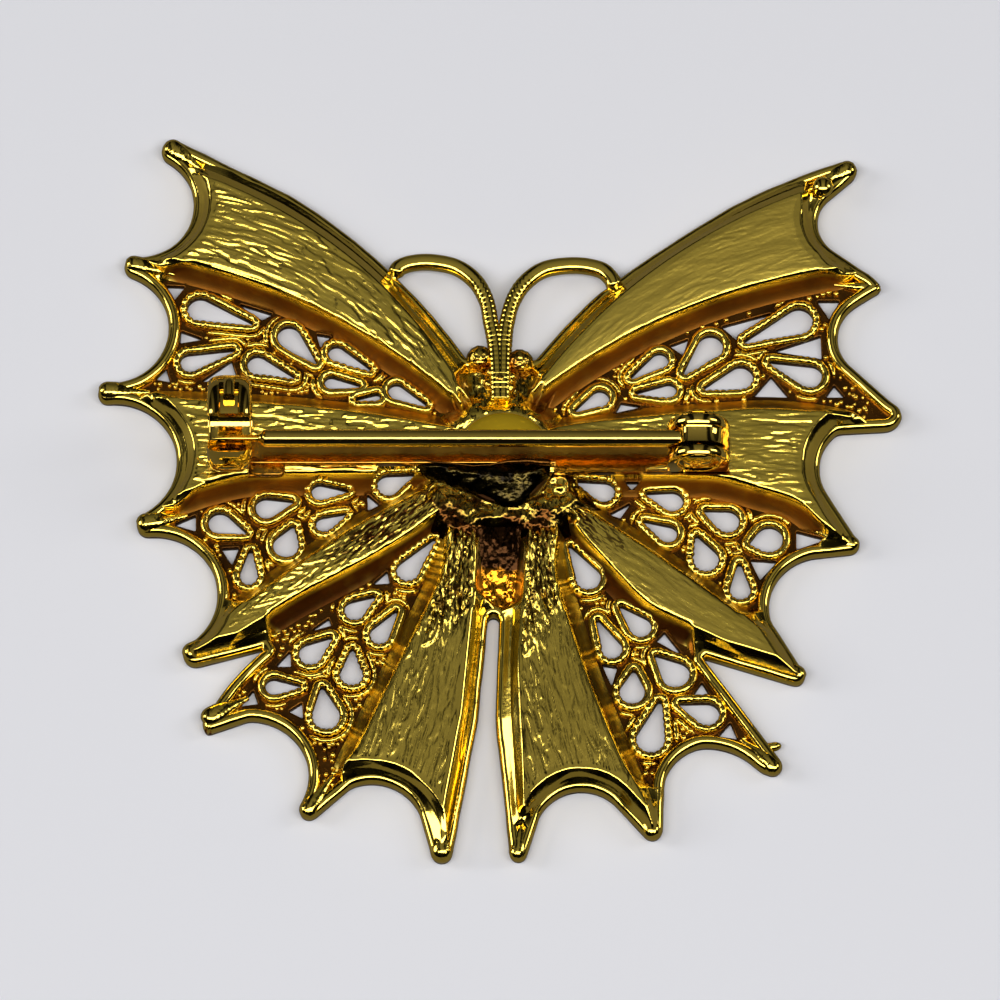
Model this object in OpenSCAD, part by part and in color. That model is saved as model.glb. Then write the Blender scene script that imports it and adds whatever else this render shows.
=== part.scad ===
// Butterfly brooch, lying on its front with the pin side up.
// X runs along the pin, Y from the tails to the head, Z up from the floor. Millimetres.

/* [Wings] */
// Width across the widest wing tips
wing_span = 46; // [42:1:52]
// Height from the upper wing tips to the tail tips
wing_height = 44; // [40:1:50]
// Thickness of the pierced webs and of the rim
web_t = 0.95; // [0.8:0.05:1.2]
// Height of the raised wing panels over the floor
panel_t = 1.9; // [1.6:0.05:2.4]
// Rise of the pad and of the seats that carry the pin over the panels
seat_rise = 0.15; // [0.1:0.05:0.3]
// How far a panel's sloping wall runs out from its top edge
wall_run = 0.85; // [0.6:0.05:1.1]
// Rounding along the rim and the panel edges
edge_r = 0.22; // [0.1:0.02:0.3]
// Depth of the two blind pockets at the lower tips
pocket_d = 0.45; // [0.3:0.05:0.6]

/* [Body and antennae] */
// Radius of each eye bead
eye_r = 0.78; // [0.6:0.02:0.9]
// Radius of the head
head_r = 1.35; // [1.1:0.05:1.6]
// Diameter of the antenna wire
antenna_d = 1; // [0.8:0.05:1.2]
// Height of the antenna wire's centre line
antenna_z = 1; // [0.7:0.05:1.3]
// Radius of the round pad in the middle of the back
pad_r = 2.8; // [2.4:0.1:3.2]

/* [Pin finding] */
// Distance of the pin's line above the middle of the wings
pin_y = 2.3; // [2:0.1:2.6]
// Height of the pin's line over the seats
pin_rise = 2.6; // [2.4:0.05:2.8]
// Distance from the middle of the brooch to the hinge
hinge_x = 11.3; // [10.5:0.1:12]
// Distance from the middle of the brooch to the catch
catch_x = 15.4; // [14.5:0.1:16]
// Thickness of the base bar
bar_t = 0.6; // [0.5:0.05:0.8]
// Width of the base bar along the catch side
bar_w = 1.5; // [1.2:0.1:1.8]
// Length of the widened bar on the catch side of the hinge
bar_wide_run = 8.2; // [7:0.1:9]
// Width of the lug beside the catch
lug_w = 0.8; // [0.6:0.1:1.2]
// Straight length of that lug
lug_len = 1.5; // [1:0.1:2]

/* [Hinge] */
// Thickness of each hinge ear
ear_t = 0.7; // [0.5:0.05:0.9]
// Length of each hinge ear along the pin
ear_w = 3.6; // [3:0.1:4.2]
// Height of the ears above the hinge axis
ear_rise = 0.95; // [0.85:0.05:1.1]
// Radius of the rivet's shank
rivet_r = 0.42; // [0.35:0.01:0.5]
// Radius of the rivet's heads
rivet_head_r = 0.9; // [0.7:0.05:1]
// Thickness of the rivet's heads
rivet_head_t = 0.25; // [0.2:0.05:0.35]

/* [Stem] */
// Diameter of the stem
stem_d = 1; // [0.8:0.05:1.1]
// Diameter of the thin point
point_d = 0.4; // [0.3:0.05:0.5]
// Length of the thin point
point_len = 2.9; // [2.5:0.1:3.2]
// How far the point reaches past the middle of the catch
point_reach = 1; // [0.8:0.05:1.15]
// Radius of the knuckle on the rivet
knuckle_r = 0.85; // [0.75:0.05:0.9]
// Width of the knuckle
knuckle_w = 1.05; // [1:0.05:1.2]
// Length of the square neck, from the hinge axis
neck_len = 2; // [1.6:0.1:2.4]

/* [Safety catch] */
// Outer radius of the catch barrel
barrel_r = 2.75; // [2.6:0.05:2.9]
// Wall of the catch barrel
barrel_wall = 0.55; // [0.45:0.05:0.65]
// Width of the catch barrel
barrel_w = 2.5; // [2.2:0.1:2.8]
// Distance of the barrel's middle above the pin's line
barrel_offset = 0.85; // [0.75:0.05:0.95]
// Wall of the turning sleeve
sleeve_wall = 0.55; // [0.4:0.05:0.6]
// Angle from straight up where the barrel's mouth begins
mouth_from = 7; // [4:1:8]
// Angle from straight up where the barrel's mouth ends
mouth_to = 56; // [54:1:62]
// Angle behind straight up where the lever slot begins
slot_from = 39; // [36:1:44]
// Width of the lever slot
slot_w = 1.05; // [0.9:0.05:1.2]
// Width of the thumb tab
tab_w = 0.65; // [0.5:0.05:0.75]
// Angle that the thumb tab covers
tab_angle = 24; // [18:1:28]
// How far the thumb tab stands out of the barrel
tab_rise = 0.3; // [0.2:0.05:0.5]

/* [Clearances] */
// Gap between the rivet and the stem's knuckle
turn_gap = 0.05; // [0.03:0.01:0.08]
// Gap between the rivet and the ears, and under its heads
rivet_gap = 0.02; // [0.01:0.01:0.04]
// Gap between the sleeve and the barrel
sleeve_gap = 0.05; // [0.03:0.01:0.08]

/* [Hidden] */
gold = "goldenrod";
pale_gold = "khaki";
$fn = 48;

// Shares: one share is a hundredth of the half span in X and the like part of the height in Y.
span_shares = 201.5;
height_shares = 181.25;
share_x = wing_span / span_shares;
share_y = wing_height / height_shares;

// Curves are cut into chords that stay this close to the arc.
curve_tol = 0.035;
// An edge corner moves out at most this many times the offset.
corner_limit = 4;
little = 0.01;
// The panels stay this far inside the rim, on its flat top.
rim_step = edge_r + 0.09;

seat_t = panel_t + seat_rise;
pin_z = seat_t + pin_rise;

// Columns: x share, y share, bulge of the edge to the next row (height of its arc over half its chord).
// A bulge above 0 swells outward. Rows run down the left side, up the right side and over the wings.
outline = [
    [-8.3, 35.4, 0.1], [-52.5, 76.5, 0], [-80.5, 90.2, 0.9],
    [-84.5, 85.8, -0.79], [-91.3, 61, 0.86], [-93.3, 56.5, -0.85],
    [-98, 29.3, 0.88], [-99, 24.3, -0.84], [-89.3, -3.5, 0.7],
    [-88.5, -9, -0.775], [-76.8, -35.5, 1], [-75, -41.3, 0],
    [-58.3, -37, 0.09], [-72.3, -52.8, 0.55], [-72.8, -58.3, 0],
    [-62.5, -54.8, -0.59], [-49.8, -75.8, 0.85], [-45.5, -78.5, 0],
    [-37, -71.3, -0.44], [-19.8, -78.5, 0], [-17.3, -87, 1.1],
    [-11.6, -87, 0], [-5.5, -55, 0], [-3, -30.5, -1.2],
    [-0.3, -30.5, 0], [-1.2, -55, 0], [2.3, -87, 1],
    [6.8, -88, 0], [10, -78.3, -0.52], [28.5, -75.5, 0],
    [35.5, -83, 0.75], [40.5, -82, 0], [40.8, -71.3, -0.32],
    [50, -61.5, -0.22], [63.8, -66.5, 0.15], [66.5, -68, 0.8],
    [70, -65, 0], [50.5, -39.2, 0], [73.3, -46, 0.85],
    [75, -41.8, 0], [67.8, -30.5, -0.44], [78, -14.3, 0],
    [87.5, -13.3, 0.78], [88.8, -9.3, 0], [82.3, 0.8, -0.39],
    [84.5, 16.8, 0], [97, 17.5, 0.3], [100.8, 20.8, 0.3],
    [98.3, 24.3, 0], [88.8, 32.8, -0.5], [89.3, 48.8, 0],
    [94.5, 52, 0.7], [95.3, 54.5, 0.1], [90.8, 57.8, 0],
    [83.3, 63, -0.51], [84, 76.8, 0], [88.8, 80.8, 0.88],
    [86.3, 85.3, 0.05], [58.3, 73.8, 0.03], [25, 52, 0.04],
    [8.8, 35, 0]];

// Raised panels, with the same three columns, read at the top of the panel.
forewing_left = [
    [-75.5, 80.3, -0.41], [-78.3, 62.3, -0.1], [-83.8, 59.5, -0.137], [-9.5, 22.3, 0.3], [-8, 23.5, 0.193]];
forewing_right = [
    [75.8, 75.8, 0.155], [8.8, 26.5, 0.3], [8, 24, -0.138], [85, 56.8, 0], [82.5, 57.3, -0.15], [76, 70, 0]];
middle_left = [
    [-86, 24, -0.54], [-80.5, 0, -0.04], [-63.3, 5, 0], [-7.5, 5.3, 0], [-7.5, 16, 0.03], [-50, 22.3, 0.02]];
middle_right = [
    [7.5, 16, 0], [7.5, 5, 0], [55, 4.5, 0.03], [75, -1.3, 0.06], [84, -9.5, -0.05],
    [77.5, 1, -0.08], [78, 11.5, -0.2], [87.5, 19, 0.1], [55, 21, 0.03]];
rib_left = [
    [-59.5, -24, 0], [-68, -30, -0.05], [-75.8, -38.5, 0.6], [-73.8, -40, 0], [-50, -25, 0.02],
    [-25, -11.5, 0.03], [-12.5, -2, 0], [-15, 3.5, 0], [-35, -7, 0.03]];
rib_right = [
    [15, 0.5, 0], [18.8, -8.5, 0], [28, -18.5, 0], [36.3, -27.5, 0.05], [43, -30.5, 0],
    [71.5, -44, 0.7], [74, -42.5, 0], [65, -33.5, 0.03]];
tail_left = [
    [-13.8, -18.3, 0], [-37.5, -66.5, -0.42], [-12, -84, 0], [-11, -63.3, 0.02], [-6.5, -29.5, 0], [-6, -17, 0]];
tail_right = [
    [7.5, -14.5, 0], [4.5, -42, 0], [5.8, -68.3, 0], [6, -77.8, -0.15], [18, -67.8, -0.12],
    [31, -72, 0], [37.5, -82.5, 0.7], [39, -82, 0], [30, -65, 0], [21.3, -44, 0], [11.3, -19.5, 0]];
hub = [
    [-15, 15.5, 0], [-15, -3, 0], [-9, -15, 0], [-4, -9, 0], [4.5, -9, 0], [8, -14, 0], [16, -2, 0],
    [16, 15.5, 0]];
PANELS = [
    forewing_left, forewing_right, middle_left, middle_right, rib_left, rib_right, tail_left, tail_right, hub];

// Teardrop gaps. Columns: x and y share of the round end, x and y share of the tip, width in X shares.
teardrops = [
    [-75.3, 48, -62.5, 44.3, 6.3], [-77.8, 34.5, -67, 37.5, 5], [-60.8, 34, -52, 30.8, 5.2],
    [-53, 41, -46.3, 34.3, 6], [-41, 36.8, -32.8, 32.8, 4.4], [-42.3, 29.5, -35.3, 28.6, 3.5],
    [-26, 27.3, -18.8, 23.9, 4.2], [-31, 25.8, -35.8, 25.2, 2.2],
    [-70, -5.8, -63.8, -8.2, 6], [-58.5, -2, -52, -0.5, 5.7], [-45, 2, -38.5, 2.2, 4.5],
    [-53.5, -11.3, -51.8, -6.8, 6.5], [-44, -6, -38.8, -3.6, 4.2], [-62.8, -19, -62.3, -13, 4.6],
    [-28, 3.8, -22, 6.2, 5.6],
    [-23, -17.5, -16.5, -10, 5.7], [-36.3, -27.5, -31.5, -24.3, 5.4], [-30, -33.5, -26, -28, 5],
    [-47.3, -38.3, -42.3, -34.5, 5.8], [-37, -43.5, -36.8, -37.5, 5.8], [-56.3, -46.5, -50, -46.4, 4.5],
    [-43.3, -53.8, -44.3, -47, 7.2],
    [75, 45, 61.8, 39.8, 7.2], [77.8, 31, 68, 34.5, 6.3], [60.3, 30.8, 51.5, 28, 6.4],
    [52.8, 38.5, 46.5, 31.8, 6.5], [40, 35, 33.3, 30.8, 4.5], [42.3, 27.5, 34.5, 26.8, 4],
    [25, 25.5, 19.3, 22.5, 4.7],
    [26, 2, 19.8, 4.5, 5.7], [43, -0.3, 37, 1.5, 5.5], [42, -8.5, 36.3, -5.5, 4.8],
    [51.5, -14.8, 49.3, -9.3, 6.5], [56.8, -5.3, 51.3, -2.8, 6.2], [67.3, -9.8, 62.8, -10.8, 7.1],
    [60, -22.5, 59.8, -16.3, 5.2],
    [22, -19.3, 17.5, -11.8, 6.5], [35, -31.5, 30.3, -26.8, 5.6], [28, -37, 24.5, -30.3, 5.2],
    [43.8, -43.5, 39, -39, 7.2], [33, -47.8, 33.3, -42.8, 6.5], [51.5, -53.3, 45, -51, 6.2],
    [37.5, -59.5, 39.8, -50.5, 7.2]];

// Three-cornered gaps. Columns: x and y share of each corner.
corner_gaps = [
    [-83.5, 54, -79.5, 53.8, -81.8, 51], [-65, 49.3, -57.5, 47, -59.8, 45.8],
    [-79.8, 42.5, -75, 40.8, -80, 40], [-84, 33.5, -86, 30.8, -83, 30.2],
    [-74.5, 30.2, -67.5, 35, -66.3, 31.5], [-45.8, 41.8, -42.8, 41.3, -45, 39],
    [-81, -5.8, -76.3, -3.8, -76.3, -7.2], [-69.3, -12, -65.5, -11.8, -67, -15.5],
    [-33, 1.3, -30.5, -0.8, -32.8, -2],
    [-31.3, -20.5, -28.3, -17.8, -27.8, -20.3], [-46.5, -32, -42.8, -29.5, -42.3, -30.8],
    [-55.5, -41, -52.5, -37.8, -52.3, -41], [-64.3, -50.8, -61.5, -47.5, -60.5, -50.3],
    [-52.3, -52.3, -49.5, -50.5, -49.3, -53.8],
    [80, 50.2, 85, 50.2, 82.8, 46], [56, 43.8, 67.8, 47, 60, 40.3],
    [69.5, 37.8, 80.3, 41.3, 80.5, 36], [82, 26.3, 83.8, 28.8, 86, 26.3],
    [68, 31, 64, 26.5, 72, 26.3], [43, 39, 47, 40.5, 45.8, 37],
    [29.3, 22.5, 30.5, 24.5, 35, 23.8],
    [31.8, 4.6, 34.5, 4.6, 33, 3.2], [27.8, -3.2, 32.3, -0.8, 30, -4],
    [74.3, -7.8, 81, -9.5, 74.3, -11.8], [62.8, -14.8, 68.8, -15.2, 65, -19.3],
    [39.3, -34.8, 41, -33, 45, -38], [25.8, -41, 29, -41.5, 27.8, -45.5],
    [48.3, -48.3, 50.3, -45.5, 52, -48.3], [54.8, -58.3, 57.3, -55.5, 58.8, -59]];

// Blind pockets. Columns: as for the three-cornered gaps.
pockets = [
    [-43.8, -59, -40.5, -59, -42, -64], [35.3, -64.5, 39, -64.5, 38, -71]];

// Antennae. Columns: x share, y share, height of the wire over its usual height, share of its radius.
antenna_left = [
    [-0.6, 24, 0.4, 1], [-0.8, 32.5, 0.3, 1], [-1.3, 38.8, 0.1, 1], [-2.3, 44, 0, 1], [-3.4, 49.5, 0, 1],
    [-6.2, 54.5, 0, 1], [-11, 58, 0, 1], [-17.3, 59.3, 0, 1], [-22.3, 59, 0, 1], [-25.4, 57.8, 0, 1],
    [-26.2, 56.2, 0, 1], [-26.6, 54.8, 0, 0.5]];
antenna_right = [
    [0.8, 24, 0.4, 1], [0.9, 32.5, 0.3, 1], [1.1, 38.8, 0.1, 1], [1.7, 43.8, 0, 1], [3.2, 49.3, 0, 1],
    [6.2, 54, 0, 1], [11.3, 57.5, 0, 1], [18.8, 58.5, 0, 1], [25, 57.5, 0, 1], [27.8, 55.3, 0, 1],
    [28.8, 53, 0, 1], [29.2, 51.6, 0, 0.5]];

// Eye beads and head. Columns: x share, y share.
eyes = [[-5, 35], [5, 34]];
head = [0, 29];
pad = [1, 8.8];
// A small cast nub on the lower right tip, from its root to its end
nub = [[66.5, -61.5], [70, -60.8]];
nub_r = 0.28;

function place(r) = [r[0] * share_x, r[1] * share_y];

// Points of an arc from p up to, but without, q. Its height is the bulge times half its chord.
function arc(p, q, bulge) =
    let(chord = norm(q - p))
    abs(bulge) < little ? [p] :
    let(
        right = [q[1] - p[1], p[0] - q[0]] / chord,
        radius = chord * (1 + bulge * bulge) / (4 * abs(bulge)),
        centre = (p + q) / 2 + right * (bulge * chord / 2 - sign(bulge) * radius),
        from = atan2(p[1] - centre[1], p[0] - centre[0]),
        sweep = 4 * atan(bulge),
        count = max(2, ceil(abs(sweep) / (2 * acos(1 - curve_tol / radius)))))
    [for (i = [0:count - 1])
        let(a = from + sweep * i / count)
        centre + radius * [cos(a), sin(a)]];

function closed_path(rows) =
    [for (i = [0:len(rows) - 1])
        each arc(place(rows[i]), place(rows[(i + 1) % len(rows)]), rows[i][2])];

// The way out of corner i of a path that runs counterclockwise, for an offset of 1.
function way_out(path, i) =
    let(
        n = len(path),
        a = path[i] - path[(i + n - 1) % n],
        b = path[(i + 1) % n] - path[i],
        na = [a[1], -a[0]] / norm(a),
        nb = [b[1], -b[0]] / norm(b),
        m = na + nb)
    m / max(m * na, 2 / (corner_limit * corner_limit));

function grown(path, d) = [for (i = [0:len(path) - 1]) path[i] + d * way_out(path, i)];

// A solid between rings of one path. Each level is [offset, height].
module rings(path, levels) {
    n = len(path);
    top = len(levels) - 1;
    points = [for (level = levels) for (p = grown(path, level[0])) [p[0], p[1], level[1]]];
    sides = [
        for (j = [0:top - 1]) for (i = [0:n - 1])
            let(
                a = j * n + i,
                b = j * n + (i + 1) % n,
                c = b + n,
                d = a + n)
            each [[a, d, c], [a, c, b]]];
    polyhedron(
        points,
        concat([[for (i = [0:n - 1]) i]], sides, [[for (i = [n - 1:-1:0]) top * n + i]]),
        convexity = 12);
}

module rim_solid() {
    rings(closed_path(outline), [
        [-edge_r, 0],
        [0, edge_r],
        [0, web_t - edge_r],
        [-edge_r, web_t]]);
}

module wing_panel(rows) {
    rise = panel_t - web_t;
    rings(closed_path(rows), [
        [wall_run, edge_r],
        [wall_run, web_t - edge_r / 2],
        [wall_run * 0.3, web_t + rise * 0.5],
        [0, panel_t - edge_r],
        [-edge_r, panel_t]]);
}

module teardrop(row) {
    tip_r = 0.12;
    hull() {
        translate(place(row)) circle(d = row[4] * share_x, $fn = 16);
        translate(place([row[2], row[3]])) circle(tip_r, $fn = 8);
    }
}

module corner_gap(row) {
    corner_r = 0.12;
    hull()
        for (i = [0:2])
            translate(place([row[2 * i], row[2 * i + 1]])) circle(corner_r, $fn = 6);
}

module pierced_web() {
    difference() {
        rim_solid();
        translate([0, 0, -1])
            linear_extrude(web_t + 2) {
                for (row = teardrops) teardrop(row);
                for (row = corner_gaps) corner_gap(row);
            }
        translate([0, 0, web_t - pocket_d])
            linear_extrude(pocket_d + 1)
                for (row = pockets) corner_gap(row);
    }
}

module raised_panels() {
    intersection() {
        union() {
            for (rows = PANELS) wing_panel(rows);
        }
        linear_extrude(2 * panel_t) polygon(grown(closed_path(outline), -rim_step));
    }
}

// Where the pin finding sits: the round pad, and a seat under the catch and under the hinge.
module seats() {
    pad_at = place(pad);
    translate([pad_at[0], pad_at[1], web_t / 2]) cylinder(h = seat_t - web_t / 2, r = pad_r);
    seat_block(-catch_x, barrel_w, pin_y + barrel_offset, foot_w);
    seat_block(hinge_x, ear_w, pin_y, bar_wide_w);
}

module seat_block(x, length, y, width) {
    translate([x - length / 2, y - width / 2, web_t / 2])
        cube([length, width, seat_t - web_t / 2]);
}

module head_and_eyes() {
    for (eye = eyes)
        translate([each place(eye), max(eye_r, web_t)]) sphere(eye_r, $fn = 16);
    at = place(head);
    flat = 0.7;
    translate([at[0], at[1], (head_r + little) * flat])
        scale([1.25, 1.35, flat]) sphere(head_r, $fn = 20);
}

// A wire of round section through the rows' points
module antenna(rows) {
    n = len(rows);
    sides = 12;
    line = [for (row = rows) [each place(row), antenna_z + row[2]]];
    points = [
        for (i = [0:n - 1])
            let(
                way = line[min(i + 1, n - 1)] - line[max(i - 1, 0)],
                left = [-way[1], way[0], 0] / norm([way[0], way[1]]),
                r = rows[i][3] * antenna_d / 2)
            for (k = [0:sides - 1])
                line[i] + r * (cos(360 * k / sides) * left + sin(360 * k / sides) * [0, 0, 1])];
    walls = [
        for (i = [0:n - 2]) for (k = [0:sides - 1])
            let(
                a = i * sides + k,
                b = i * sides + (k + 1) % sides,
                c = b + sides,
                d = a + sides)
            each [[a, d, c], [a, c, b]]];
    ends = [[for (k = [0:sides - 1]) k], [for (k = [sides - 1:-1:0]) (n - 1) * sides + k]];
    polyhedron(points, concat(walls, ends), convexity = 6);
}

module cast_nub() {
    hull()
        for (end = nub)
            translate([each place(end), web_t / 2]) sphere(nub_r, $fn = 10);
}

module butterfly_casting() {
    color(gold) {
        pierced_web();
        raised_panels();
        seats();
        head_and_eyes();
        antenna(antenna_left);
        antenna(antenna_right);
        cast_nub();
    }
}

// Places that the finding's pieces share
bar_top = seat_t + bar_t;
bar_wide_w = knuckle_w + 2 * (turn_gap + ear_t);
foot_w = barrel_r * 0.95;
barrel_y = pin_y + barrel_offset;
barrel_z = seat_t + barrel_r;
bore_r = barrel_r - barrel_wall;
sleeve_r = bore_r - sleeve_gap;
ear_top = pin_z + ear_rise;
ear_in = knuckle_w / 2 + turn_gap;
stem_tip_x = -catch_x - point_reach;
bar_start = -catch_x - barrel_w / 2;
// Domes of solder beside the bar. Columns: x share, distance below the pin's line in bar widths,
// base radius in bar widths, height in bar thicknesses.
solder = [[-12.7, 0.73, 1, 0.85], [-3.9, 0.87, 1.27, 1], [5.7, 0.87, 1.13, 0.92]];

// A cylinder along X from x, centred on the pin's line unless y and z say otherwise
module rod_x(x, length, r, y = pin_y, z = pin_z) {
    translate([x, y, z]) rotate([0, 90, 0]) cylinder(h = length, r = r);
}

// A cylinder along Y through the hinge axis, centred on the pin's line
module rod_y(length, r) {
    translate([hinge_x, pin_y + length / 2, pin_z]) rotate([90, 0, 0]) cylinder(h = length, r = r);
}

// A wedge along X about the barrel's middle, between two angles from straight up towards the tails
module wedge(from, to, length, reach) {
    steps = 4;
    translate([-catch_x, barrel_y, barrel_z])
        rotate([90, 0, 90])
            linear_extrude(length, center = true)
                polygon(concat([[0, 0]], [for (i = [0:steps])
                    let(a = from + (to - from) * i / steps)
                    reach * [-sin(a), cos(a)]]));
}

module catch_barrel() {
    difference() {
        union() {
            rod_x(-catch_x - barrel_w / 2, barrel_w, barrel_r, barrel_y, barrel_z);
            translate([-catch_x - barrel_w / 2, barrel_y - foot_w / 2, seat_t])
                cube([barrel_w, foot_w, barrel_r]);
        }
        rod_x(-catch_x - barrel_w, 2 * barrel_w, bore_r, barrel_y, barrel_z);
        wedge(mouth_from, mouth_to, 2 * barrel_w, 2 * barrel_r);
        wedge(-slot_from, mouth_to, slot_w, 2 * barrel_r);
    }
}

module ear_profile() {
    round_r = ear_rise * 0.8;
    height = ear_top - seat_t;
    translate([-ear_w / 2, 0]) square([ear_w, height - round_r]);
    translate([-ear_w / 2 + round_r, 0]) square([ear_w - 2 * round_r, height]);
    for (side = [-1, 1])
        translate([side * (ear_w / 2 - round_r), height - round_r]) circle(round_r);
}

module hinge_ears() {
    difference() {
        for (side = [-1, 1])
            translate([hinge_x, pin_y + side * (ear_in + ear_t / 2) + ear_t / 2, seat_t])
                rotate([90, 0, 0]) linear_extrude(ear_t) ear_profile();
        rod_y(2 * bar_wide_w, rivet_r + rivet_gap);
    }
}

module base_bar() {
    translate([bar_start, pin_y - bar_w / 2, seat_t])
        cube([hinge_x + ear_w / 2 - bar_start, bar_w, bar_t]);
    translate([hinge_x - bar_wide_run, pin_y - bar_wide_w / 2, seat_t])
        cube([bar_wide_run + ear_w / 2, bar_wide_w, bar_t]);
    // The bar's lug beside the catch, with a round end
    translate([-catch_x + barrel_w / 2, pin_y - bar_w / 2 - lug_w, seat_t]) {
        cube([lug_len, lug_w + little, bar_t]);
        translate([lug_len, lug_w / 2, 0]) cylinder(h = bar_t, r = lug_w / 2);
    }
}

module solder_dome(row) {
    base = row[2] * bar_w;
    height = row[3] * bar_t;
    ball_r = (base * base + height * height) / (2 * height);
    translate([row[0] * share_x, pin_y - row[1] * bar_w, seat_t])
        intersection() {
            translate([0, 0, height - ball_r]) sphere(ball_r);
            cylinder(h = 2 * height, r = 2 * base);
        }
}

module pin_bar() {
    color(pale_gold) {
        base_bar();
        catch_barrel();
        hinge_ears();
        for (row = solder) solder_dome(row);
    }
}

module hinge_rivet() {
    shank = 2 * (ear_in + ear_t + rivet_gap);
    color(gold) {
        rod_y(shank + little, rivet_r);
        for (side = [-1, 1])
            translate([0, side * (shank + rivet_head_t) / 2, 0]) rod_y(rivet_head_t, rivet_head_r);
    }
}

module pin_stem() {
    shaft_end = stem_tip_x + point_len;
    sharp = 1.2;
    neck_h = stem_d + 0.05;
    color(pale_gold)
        difference() {
            union() {
                rod_y(knuckle_w, knuckle_r);
                translate([hinge_x - neck_len, pin_y - knuckle_w / 2, pin_z - neck_h / 2])
                    cube([neck_len, knuckle_w, neck_h]);
                rod_x(shaft_end, hinge_x - shaft_end, stem_d / 2);
                rod_x(stem_tip_x + sharp, point_len - sharp + little, point_d / 2);
                translate([stem_tip_x, pin_y, pin_z])
                    rotate([0, 90, 0]) cylinder(h = sharp, r1 = point_d / 8, r2 = point_d / 2);
            }
            rod_y(2 * knuckle_w, rivet_r + turn_gap);
        }
}

module catch_rotor() {
    sleeve_w = barrel_w - 2 * sleeve_gap;
    sleeve_in = sleeve_r - sleeve_wall;
    mouth_spare = 2;
    tab_middle = -slot_from + 1.5 + tab_angle / 2;
    color(gold) {
        difference() {
            rod_x(-catch_x - sleeve_w / 2, sleeve_w, sleeve_r, barrel_y, barrel_z);
            rod_x(-catch_x - sleeve_w, 2 * sleeve_w, sleeve_in, barrel_y, barrel_z);
            wedge(mouth_from - mouth_spare, mouth_to + mouth_spare, 2 * barrel_w, 2 * barrel_r);
        }
        intersection() {
            difference() {
                rod_x(-catch_x - tab_w / 2, tab_w, barrel_r + tab_rise, barrel_y, barrel_z);
                rod_x(-catch_x - tab_w, 2 * tab_w, sleeve_r - sleeve_wall / 2, barrel_y, barrel_z);
            }
            wedge(tab_middle - tab_angle / 2, tab_middle + tab_angle / 2, 2 * tab_w, 2 * barrel_r);
        }
    }
}

butterfly_casting();
pin_bar();
hinge_rivet();
pin_stem();
catch_rotor();
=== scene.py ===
# %% [markdown]
# A gold-plated butterfly brooch, lying on its front so that the pin side shows.
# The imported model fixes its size. This script dresses it: cast wings with raised brushed panels,
# a pierced filigree of beaded wire loops, and a riveted pin with a round safety catch.

# %% Load the frame
import math

import bmesh
import bpy
import numpy as np
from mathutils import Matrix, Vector


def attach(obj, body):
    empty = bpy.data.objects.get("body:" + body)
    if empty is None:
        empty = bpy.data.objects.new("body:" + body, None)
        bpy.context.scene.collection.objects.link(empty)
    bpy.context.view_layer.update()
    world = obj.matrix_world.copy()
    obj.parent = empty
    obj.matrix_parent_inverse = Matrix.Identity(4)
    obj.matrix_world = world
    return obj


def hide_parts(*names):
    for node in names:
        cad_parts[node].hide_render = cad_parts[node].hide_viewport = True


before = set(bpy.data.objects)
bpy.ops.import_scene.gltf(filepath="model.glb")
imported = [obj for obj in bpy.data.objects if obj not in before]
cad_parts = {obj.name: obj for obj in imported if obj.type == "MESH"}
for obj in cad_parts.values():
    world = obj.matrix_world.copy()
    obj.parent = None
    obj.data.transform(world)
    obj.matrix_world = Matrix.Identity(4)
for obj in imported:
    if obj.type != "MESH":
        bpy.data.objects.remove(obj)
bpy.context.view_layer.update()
MM = 0.001

# %% [markdown]
# The wings are drawn in shares, as a jeweller squares up a drawing: 201.5 shares across the span and
# 181.25 down the height. The outline, gaps and panels are those of the part's source, but for both
# tail panels, which run further up under the body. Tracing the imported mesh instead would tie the
# looks to its facets.

# %% Sizes in millimetres
WING_SPAN, WING_HEIGHT = 46.0, 44.0
SHARE = np.array([WING_SPAN / 201.5, WING_HEIGHT / 181.25])
PLATE_TOP, PANEL_T, SEAT_T, WALL_FLARE = 0.5, 1.9, 2.05, 1.1
PIN_Y, PIN_Z, HINGE_X, CATCH_X, STEM_R = 2.3, 4.65, 11.3, 15.4, 0.5
BAR_T, BAR_W, BAR_WIDE_W = 0.6, 1.5, 2.55
BARREL_R, BARREL_W, BARREL_Y, BARREL_Z = 2.75, 2.5, 3.15, 4.8


def place(row):
    return np.array(row[:2], float) * SHARE


print("one share is", SHARE.round(4), "mm")

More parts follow.
